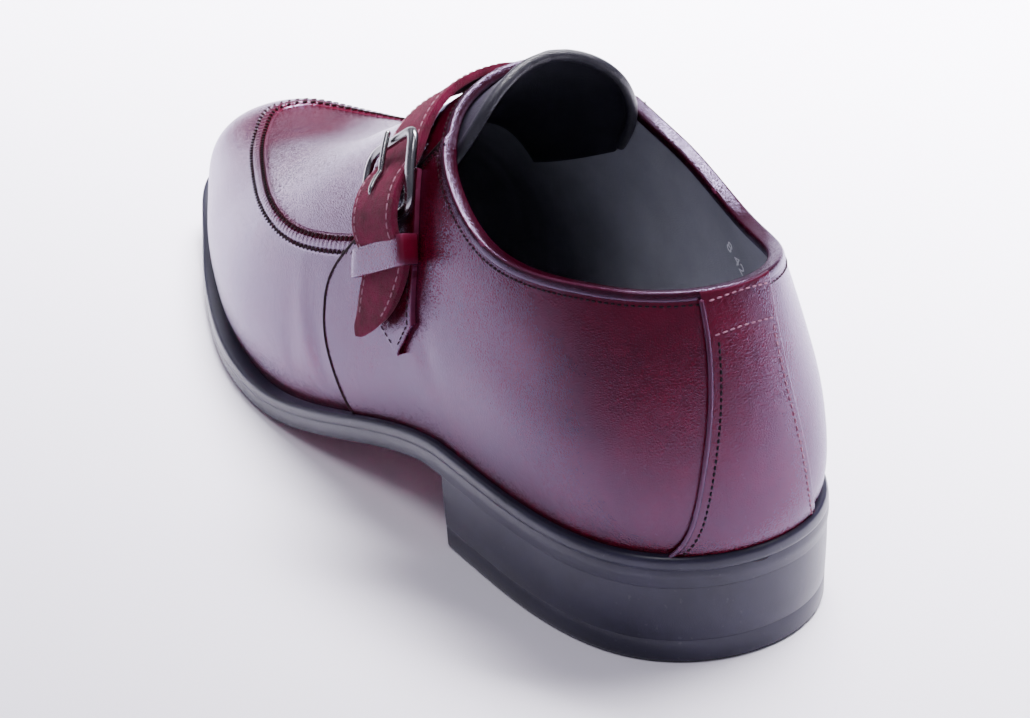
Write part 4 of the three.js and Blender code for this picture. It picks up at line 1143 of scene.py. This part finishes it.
strap_station, strap_share, strap_front, strap_rear = (
    spline(STRAP["rise"], STRAP[name]) for name in ("station", "lift", "front", "rear")
)
tab_station = spline([0.285, 0.35, 0.48, 0.64], [0.367, 0.37, 0.3695, 0.381])


def strap_lift(rise):
    return STRAP_THICKNESS * strap_share(rise)


def turn_length(rise):
    """Metres along the foot for one radian of turn at the strap."""
    turn = np.pi * strap_station(rise)
    apart = rib_point(turn + SLOPE_STEP, LATERAL, rise) - rib_point(turn - SLOPE_STEP, LATERAL, rise)
    return np.linalg.norm(apart, axis=-1) / (2 * SLOPE_STEP)


def band_station(station, rise, across):
    """The station "across" metres in front of a line on the last."""
    return station(rise) + across / turn_length(rise) / np.pi


def band(station, low, high, front, rear, lift, skew=0.0):
    """place(u, v) for a sheet that runs up a line, "front" and "rear" metres to its sides."""
    def place(u, v):
        rise = low + (high - low) * u
        across = -rear(rise) + (front(rise) + rear(rise)) * v
        return skin(band_station(station, rise, across), rise - skew * (2 * v - 1), lift(rise, v))

    return place


# %% Strap
def strap_crown(rise, v):
    """The outer face, a little lower towards its edges."""
    edge = np.abs(2 * v - 1)
    return strap_lift(rise) + STRAP_THICKNESS - 0.35 * MM * edge**6


strap_place = band(
    strap_station, STRAP["rise"][0], STRAP["rise"][-1],
    lambda rise: STRAP_WIDTH * strap_front(rise), lambda rise: STRAP_WIDTH * strap_rear(rise), strap_crown,
)
strap = lay("strap", strap_place, 300, 26)
thicken(strap, STRAP_THICKNESS, 0.45 * MM)
dress(strap, suede, "strap")

edge_lines = []
for side in (0, 1):
    rises = np.linspace(0.37, 1.5, 500)
    width = STRAP_WIDTH * (strap_front(rises) + strap_rear(rises))
    inset = 1.9 * MM / width
    share = side + (1 - 2 * side) * inset
    across = -STRAP_WIDTH * strap_rear(rises) + width * share
    lift = strap_crown(rises, share) + 0.03 * MM
    edge_lines.append(skin_line(band_station(strap_station, rises, across), rises, lift))
strap_stitches = stitch_row("strap_stitches", edge_lines, 2.2 * MM, 1.6 * MM, 0.22 * MM)
dress(strap_stitches, light_thread, "strap")

# %% Buckle tab
TAB_WIDTH = 17.6 * MM
TAB_THICKNESS = 1.2 * MM
TAB_LOW = 0.285


def tab_reach(rise):
    return TAB_WIDTH / 2 * np.clip((rise - TAB_LOW) / 0.07, 0.08, 1)


def tab_lift(rise, v):
    return QUARTER_STEP + GAP + TAB_THICKNESS - 0.25 * MM * np.abs(2 * v - 1) ** 8


tab = lay("buckle_tab", band(tab_station, TAB_LOW, 0.64, tab_reach, tab_reach, tab_lift), 160, 28)
thicken(tab, TAB_THICKNESS + 0.25 * MM, 0.3 * MM)
dress(tab, burgundy, "buckle_tab")
tab_rises = np.concatenate([np.linspace(0.5, 0.36, 60), np.linspace(0.355, 0.308, 40)])
tab_sides = [
    skin_line(
        band_station(tab_station, tab_rises, sign * (tab_reach(tab_rises) - 1.6 * MM)), tab_rises,
        QUARTER_STEP + GAP + TAB_THICKNESS,
    )
    for sign in (-1, 1)
]
tab_stitches = stitch_row("tab_stitches", tab_sides, 2.0 * MM, 1.4 * MM, 0.2 * MM)
dress(tab_stitches, thread, "buckle_tab")

# %% [markdown]
# The keeper is a closed loop of a narrow band, so its profile is carried round a rounded rectangle that
# stands on the leather under the tab and passes over the strap.

# %% Keeper
KEEPER_RISE, KEEPER_HALF_RISE, KEEPER_SKEW, KEEPER_HALF, KEEPER_WALL = 0.478, 0.026, 0.015, 12.9 * MM, 1.3 * MM


def keeper_rows():
    low = QUARTER_STEP + GAP
    high = strap_lift(KEEPER_RISE) + STRAP_THICKNESS + GAP + KEEPER_WALL
    middle, half_height = (low + high) / 2, (high - low) / 2
    rows = []
    for angle in np.linspace(0, 2 * np.pi, 121):
        corner = lambda value: np.sign(value) * abs(value) ** 0.28
        a, h = corner(math.cos(angle)), corner(math.sin(angle))
        row = []
        for wide, depth in ((-1, 0.12), (-0.9, 0), (-0.5, -0.04), (0, -0.06), (0.5, -0.04), (0.9, 0), (1, 0.12),
                            (1, 0.9), (0.9, 1), (0, 1), (-0.9, 1), (-1, 0.9), (-1, 0.12)):
            inset = depth * KEEPER_WALL
            across = a * (KEEPER_HALF - inset)
            rise = KEEPER_RISE + wide * KEEPER_HALF_RISE - KEEPER_SKEW * across / KEEPER_HALF
            lift = middle + h * (half_height - inset) + strap_lift(rise) * 0
            row.append(skin(band_station(strap_station, rise, across), rise, lift))
        rows.append(row)
    return rows


keeper = lay_rows("keeper", keeper_rows())
dress(keeper, burgundy, "keeper", smooth=50)

# %% [markdown]
# The frame of the buckle is a bent and polished metal ring. Its rear bar is fuller in the middle, and its
# corners are round. The prong hooks over the top bar and points down the strap.

# %% Buckle frame
FRAME_LOW, FRAME_HIGH, FRAME_SKEW, FRAME_BAR_RISE = 0.535, 0.705, 0.018, 0.019
FRAME_HALF, FRAME_BAR, FRAME_DEPTH = 13.4 * MM, 2.3 * MM, 1.8 * MM
FRAME_LOW_LIFT, FRAME_HIGH_LIFT = 2.9 * MM, 4.8 * MM


def frame_lift(rise):
    return FRAME_LOW_LIFT + (FRAME_HIGH_LIFT - FRAME_LOW_LIFT) * (rise - FRAME_LOW) / (FRAME_HIGH - FRAME_LOW)


def swept_ring(centres, normals, profiles):
    """Closed rows of points: profiles of (across, out) carried along a line."""
    along, across, out = frames_along(centres, normals)
    return [
        [centre + s * side + n * up for side, up in profile]
        for centre, s, n, profile in zip(centres, across, out, profiles)
    ]


def oval(half_width, half_depth, count=16, power=0.8):
    angles = np.linspace(0, 2 * np.pi, count + 1)
    bend = lambda value: np.sign(value) * np.abs(value) ** power
    return list(zip(bend(np.cos(angles)) * half_width, bend(np.sin(angles)) * half_depth))


angles = np.linspace(0, 2 * np.pi, 241)
squared = lambda value: np.sign(value) * np.abs(value) ** 0.36
ring_across = squared(np.cos(angles)) * (FRAME_HALF - FRAME_BAR / 2)
ring_half = (FRAME_HIGH - FRAME_LOW) / 2 - FRAME_BAR_RISE / 2
ring_rise = (FRAME_HIGH + FRAME_LOW) / 2 + squared(np.sin(angles)) * ring_half - FRAME_SKEW * ring_across / FRAME_HALF
ring_line = skin(band_station(strap_station, ring_rise, ring_across), ring_rise, frame_lift(ring_rise) + FRAME_DEPTH / 2)
ring_normals = normal_at(band_station(strap_station, ring_rise, 0 * ring_across), ring_rise)
rear_bar = np.clip(-np.cos(angles), 0, 1) ** 2
ring_profiles = [oval(FRAME_BAR / 2 * (0.95 + 0.6 * r), FRAME_DEPTH / 2 * (1 + 0.1 * r)) for r in rear_bar]
ring_rows = swept_ring(ring_line, ring_normals, ring_profiles)
ring_rows[-1] = ring_rows[0]
frame_ring = lay_rows("buckle_frame", ring_rows)
dress(frame_ring, gunmetal, "buckle_frame", smooth=80)

# %% Buckle prong
PRONG_LOW, PRONG_HIGH, PRONG_HALF, PRONG_DEPTH = 0.585, 0.712, 0.9 * MM, 1.4 * MM
prong_rise = np.linspace(PRONG_LOW, PRONG_HIGH, 60)
prong_under = np.maximum(strap_lift(prong_rise) + STRAP_THICKNESS, frame_lift(prong_rise) + FRAME_DEPTH) + GAP
prong_line = skin(band_station(strap_station, prong_rise, 0), prong_rise, prong_under + PRONG_DEPTH / 2)
taper = np.clip(np.minimum((prong_rise - PRONG_LOW) / 0.012, (PRONG_HIGH - prong_rise) / 0.006), 0, 1) ** 0.5
taper = np.clip(taper, 0.02, 1) * (0.8 + 0.2 * (prong_rise - PRONG_LOW) / (PRONG_HIGH - PRONG_LOW))
prong_profiles = [oval(PRONG_HALF * t, PRONG_DEPTH / 2 * t) for t in taper]
prong = lay_rows("buckle_prong", swept_ring(prong_line, normal_at(strap_station(prong_rise), prong_rise), prong_profiles))
dress(prong, gunmetal, "buckle_prong", smooth=60)

# %% [markdown]
# The tongue lies under the throat. Its free edge is bound, and shows inside the collar.

# %% Tongue
tongue_start = spline([0, 0.5, 0.85, 1], [0.325, 0.33, 0.352, 0.38])
TONGUE_END, TONGUE_SIDE_RISE = 0.48, 0.6
TONGUE_LIFT = -WALL - 0.5 * MM


def tongue_place(u, v):
    side = 2 * v - 1
    start = tongue_start(np.abs(side))
    station = start + (TONGUE_END - start) * u
    return skin(station, 1 + side * (1 - TONGUE_SIDE_RISE), TONGUE_LIFT)


tongue = lay("tongue", tongue_place, 60, 100)
thicken(tongue, 2.0 * MM, 0.5 * MM)
dress(tongue, tongue_leather, "tongue")
sides = np.linspace(-0.97, 0.97, 160)
tongue_edge = skin(tongue_start(np.abs(sides)) + 0.001, 1 + sides * (1 - TONGUE_SIDE_RISE), TONGUE_LIFT - 1.0 * MM)
tongue_normals = normal_at(tongue_start(np.abs(sides)), 1 + sides * (1 - TONGUE_SIDE_RISE))
tongue_roll = lay_rows("tongue_binding", swept_ring(tongue_edge, tongue_normals, [oval(1.5 * MM, 1.35 * MM)] * 160))
dress(tongue_roll, tongue_leather, "tongue", smooth=80)

# %% [markdown]
# ## The sole
# Each layer of the sole is one grid: round the shoe one way, and from the middle of the top face over the
# edge to the middle of the bottom face the other way. The outline comes from the feather line, moved out by
# the ledge, and the heights from the sole's curve.

# %% Rows of a layer
HEEL_TURN = math.acos(1 - 2 * HEEL_LENGTH / LAST_LENGTH)


def whole_row(turns, out, share, ledge_share, height):
    """One row round the whole sole. "share" is how far its points lie in towards the middle line."""
    edge = outline(turns, LATERAL, out, ledge_share)
    other = outline(-turns, LATERAL, out, ledge_share)
    # The second half of the turns runs back along the medial side.
    flat = edge + (other - edge) * share / 2
    z = height(flat[:, 0])
    return np.column_stack([flat, z]) + SHIFT


def side_outline(turn, out, ledge_share):
    """The outline for turns from 0 round the toe to a full circle, back along the medial side."""
    lateral = turn <= np.pi
    folded = np.where(lateral, turn, 2 * np.pi - turn)
    return np.where(lateral[:, None], outline(folded, LATERAL, out, ledge_share), outline(folded, MEDIAL, out, ledge_share))


def sole_rows(profile, count=300):
    """Rows of a whole layer from (out, share towards the middle, ledge share, height function)."""
    turns = np.linspace(0, 2 * np.pi, count + 1)
    rows = []
    for out, share, ledge_share, height in profile:
        here = side_outline(turns, out(turns) if callable(out) else out, ledge_share)
        there = side_outline(2 * np.pi - turns, out, ledge_share) if not callable(out) else side_outline(2 * np.pi - turns, out(turns), ledge_share)
        flat = here + (there - here) * share / 2
        rows.append(np.column_stack([flat, height(flat[:, 0])]) + SHIFT)
    return np.swapaxes(np.array(rows), 0, 1)


# %% Outsole
def heel_seat(turns):
    """1 where the heel is under the outsole, 0 in front of it."""
    x = LAST_LENGTH * (1 - np.cos(turns)) / 2
    return 1 - soft_step(x, HEEL_LENGTH + 1 * MM, HEEL_LENGTH + 14 * MM)


def outsole_out(mm, heel_mm):
    return lambda turns: (mm + (heel_mm - mm) * heel_seat(turns)) * MM


def at(share):
    return lambda x: underside(x) + OUTSOLE_THICKNESS * share


def below(mm):
    return lambda x: underside(x) + mm * MM


OUTSOLE_PROFILE = [
    (0, 1, 1, at(1)), (0, 0.5, 1, at(1)), (-3 * MM, 0, 1, at(1)), (-0.5 * MM, 0, 1, at(1)),
    (-0.25 * MM, 0, 1, lambda x: at(1)(x) + GAP), (0, 0, 1, at(0.8)), (0, 0, 1, at(0.6)),
    (outsole_out(-0.1, -0.1), 0, 1, at(0.42)), (outsole_out(-0.3, -0.2), 0, 1, at(0.25)),
    (outsole_out(-0.75, -0.25), 0, 1, at(0.1)), (outsole_out(-1.3, -0.3), 0, 1, at(0.02)),
    (-2 * MM, 0, 1, at(0)), (-5.2 * MM, 0, 1, at(0)), (-5.6 * MM, 0, 1, below(0.5)), (-6.1 * MM, 0, 1, below(0.6)),
    (-6.5 * MM, 0, 1, below(0.5)), (-6.9 * MM, 0, 1, at(0)), (-9 * MM, 0.1, 1, at(0)), (-9 * MM, 0.4, 1, at(0)),
    (-9 * MM, 0.7, 1, at(0)), (-9 * MM, 1, 1, at(0)),
]
outsole = lay_rows("outsole", sole_rows(OUTSOLE_PROFILE))
dress(outsole, outsole_leather, "outsole", smooth=50)
outsole.data.materials.append(sole_edge)
edge_faces = 0
for face in outsole.data.polygons:
    centre = face.center
    if abs(face.normal.z) < 0.75 and centre.z > underside(np.array(centre.x - SHIFT[0])) + 0.05 * MM:
        face.material_index = 1
        edge_faces += 1
print("outsole edge faces", edge_faces)

# %% Outsole stitches in their groove
groove_turns = np.linspace(0.9, 2 * np.pi - 0.9, 1400)
groove_flat = side_outline(groove_turns, -6.05 * MM, 1)
groove_line = np.column_stack([groove_flat, underside(groove_flat[:, 0]) + 0.35 * MM]) + SHIFT
groove_normals = np.tile([0.0, 0.0, -1.0], (1400, 1))
sole_stitches = stitch_row("outsole_stitches", [(groove_line, groove_normals)], 3.4 * MM, 2.5 * MM, 0.35 * MM)
dress(sole_stitches, thread, "outsole")

# %% Welt
def welt_at(share):
    return lambda x: outsole_top(x) + GAP * 0.5 + (GAP * 0.5 + WELT_THICKNESS) * share


WELT_PROFILE = [
    (-2.6 * MM, 0, 0, welt_at(0)), (-0.4 * MM, 0, 1, welt_at(0)), (-0.12 * MM, 0, 1, welt_at(0.08)),
    (-0.08 * MM, 0, 1, welt_at(0.3)), (-0.15 * MM, 0, 1, welt_at(0.55)), (-0.3 * MM, 0, 1, welt_at(0.78)),
    (-0.6 * MM, 0, 1, welt_at(0.92)), (-1.0 * MM, 0, 1, welt_at(0.985)), (-1.5 * MM, 0, 1, welt_at(1)),
    (0.4 * MM, 0, 0, welt_at(1)), (-2.6 * MM, 0, 0, welt_at(1)), (-2.6 * MM, 0, 0, welt_at(0)),
]
welt = lay_rows("welt", sole_rows(WELT_PROFILE))
dress(welt, sole_edge, "welt", smooth=45)

# %% Insole
INSOLE_PROFILE = [
    (-2.8 * MM, 1, 0, outsole_top), (-2.8 * MM, 0, 0, outsole_top), (-2.8 * MM, 0, 0, lambda x: welt_top(x) + GAP + 1.9 * MM),
    (-3.6 * MM, 0, 0, lambda x: welt_top(x) + GAP + 2.35 * MM), (-5 * MM, 0.05, 0, lambda x: welt_top(x) + GAP + 2.4 * MM),
    (-5 * MM, 0.5, 0, lambda x: welt_top(x) + GAP + 2.2 * MM), (-5 * MM, 1, 0, lambda x: welt_top(x) + GAP + 2.1 * MM),
]
insole = lay_rows("insole", sole_rows(INSOLE_PROFILE, 200))
dress(insole, lining_leather, "insole")

# %% [markdown]
# The heel's layers are cut off in front by a hollow face, the breast. Their rows run round the heel and
# back along the breast, and close over a point in the middle.

# %% Heel stack and top lift
HEEL_MIDDLE = np.array([0.5 * HEEL_LENGTH, -0.015 * BALL_WIDTH])


def heel_rows(profile):
    """Rows of a heel layer from (out, share towards the middle, height function)."""
    turns = np.linspace(HEEL_TURN, 0, 70)
    rows = []
    for out, share, height in profile:
        lateral, medial = outline(turns, LATERAL, out), outline(turns[::-1][1:], MEDIAL, out)
        left, right = medial[-1], lateral[0]
        across = np.linspace(-1, 1, 42)[1:, None]
        breast = (left + right) / 2 + (right - left) / 2 * across
        breast[:, 0] -= (BREAST_HOLLOW * (1 - across**2))[:, 0]
        breast[:, 0] += 0 * out
        flat = np.concatenate([lateral, medial, breast])
        flat = flat + (HEEL_MIDDLE - flat) * share
        rows.append(np.column_stack([flat, height(flat[:, 0])]) + SHIFT)
    return np.swapaxes(np.array(rows), 0, 1)


def flat_at(mm):
    return lambda x: 0 * x + mm * MM


def seat_at(mm):
    return lambda x: underside(x) + mm * MM


def stack_at(share):
    """Heights between the top lift and the outsole."""
    return lambda x: TOP_LIFT_THICKNESS + (underside(x) - TOP_LIFT_THICKNESS) * share


STACK_PROFILE = [
    (-0.5 * MM, 1, seat_at(0)), (-0.5 * MM, 0.1, seat_at(0)), (-0.35 * MM, 0, seat_at(0)), (-0.4 * MM, 0, stack_at(0.66)),
    (-0.55 * MM, 0, stack_at(0.33)), (-0.75 * MM, 0, stack_at(0.03)), (-0.85 * MM, 0, stack_at(0)),
    (-0.85 * MM, 1, stack_at(0)),
]
stack = lay_rows("heel_stack", heel_rows(STACK_PROFILE))
dress(stack, sole_edge, "heel_stack", smooth=35)
LIFT_PROFILE = [
    (-0.85 * MM, 1, flat_at(6)), (-0.85 * MM, 0, flat_at(6)), (-0.8 * MM, 0, flat_at(5.9)), (-0.85 * MM, 0, flat_at(3)),
    (-0.9 * MM, 0, flat_at(1.2)), (-1.1 * MM, 0, flat_at(0.5)), (-1.5 * MM, 0, flat_at(0.12)), (-2 * MM, 0, flat_at(0)),
    (-2 * MM, 1, flat_at(0)),
]
top_lift = lay_rows("top_lift", heel_rows(LIFT_PROFILE))
dress(top_lift, heel_rubber, "top_lift", smooth=35)
top_lift.data.materials.append(sole_edge)
for face in top_lift.data.polygons:
    face.material_index = int(abs(face.normal.z) < 0.6)

# %% Sizes and the end
low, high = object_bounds()
triangles = sum(len(p.vertices) - 2 for o in bpy.data.objects if o.type == "MESH" for p in o.data.polygons)
print("visual box", tuple(low), tuple(high), "triangles", triangles)
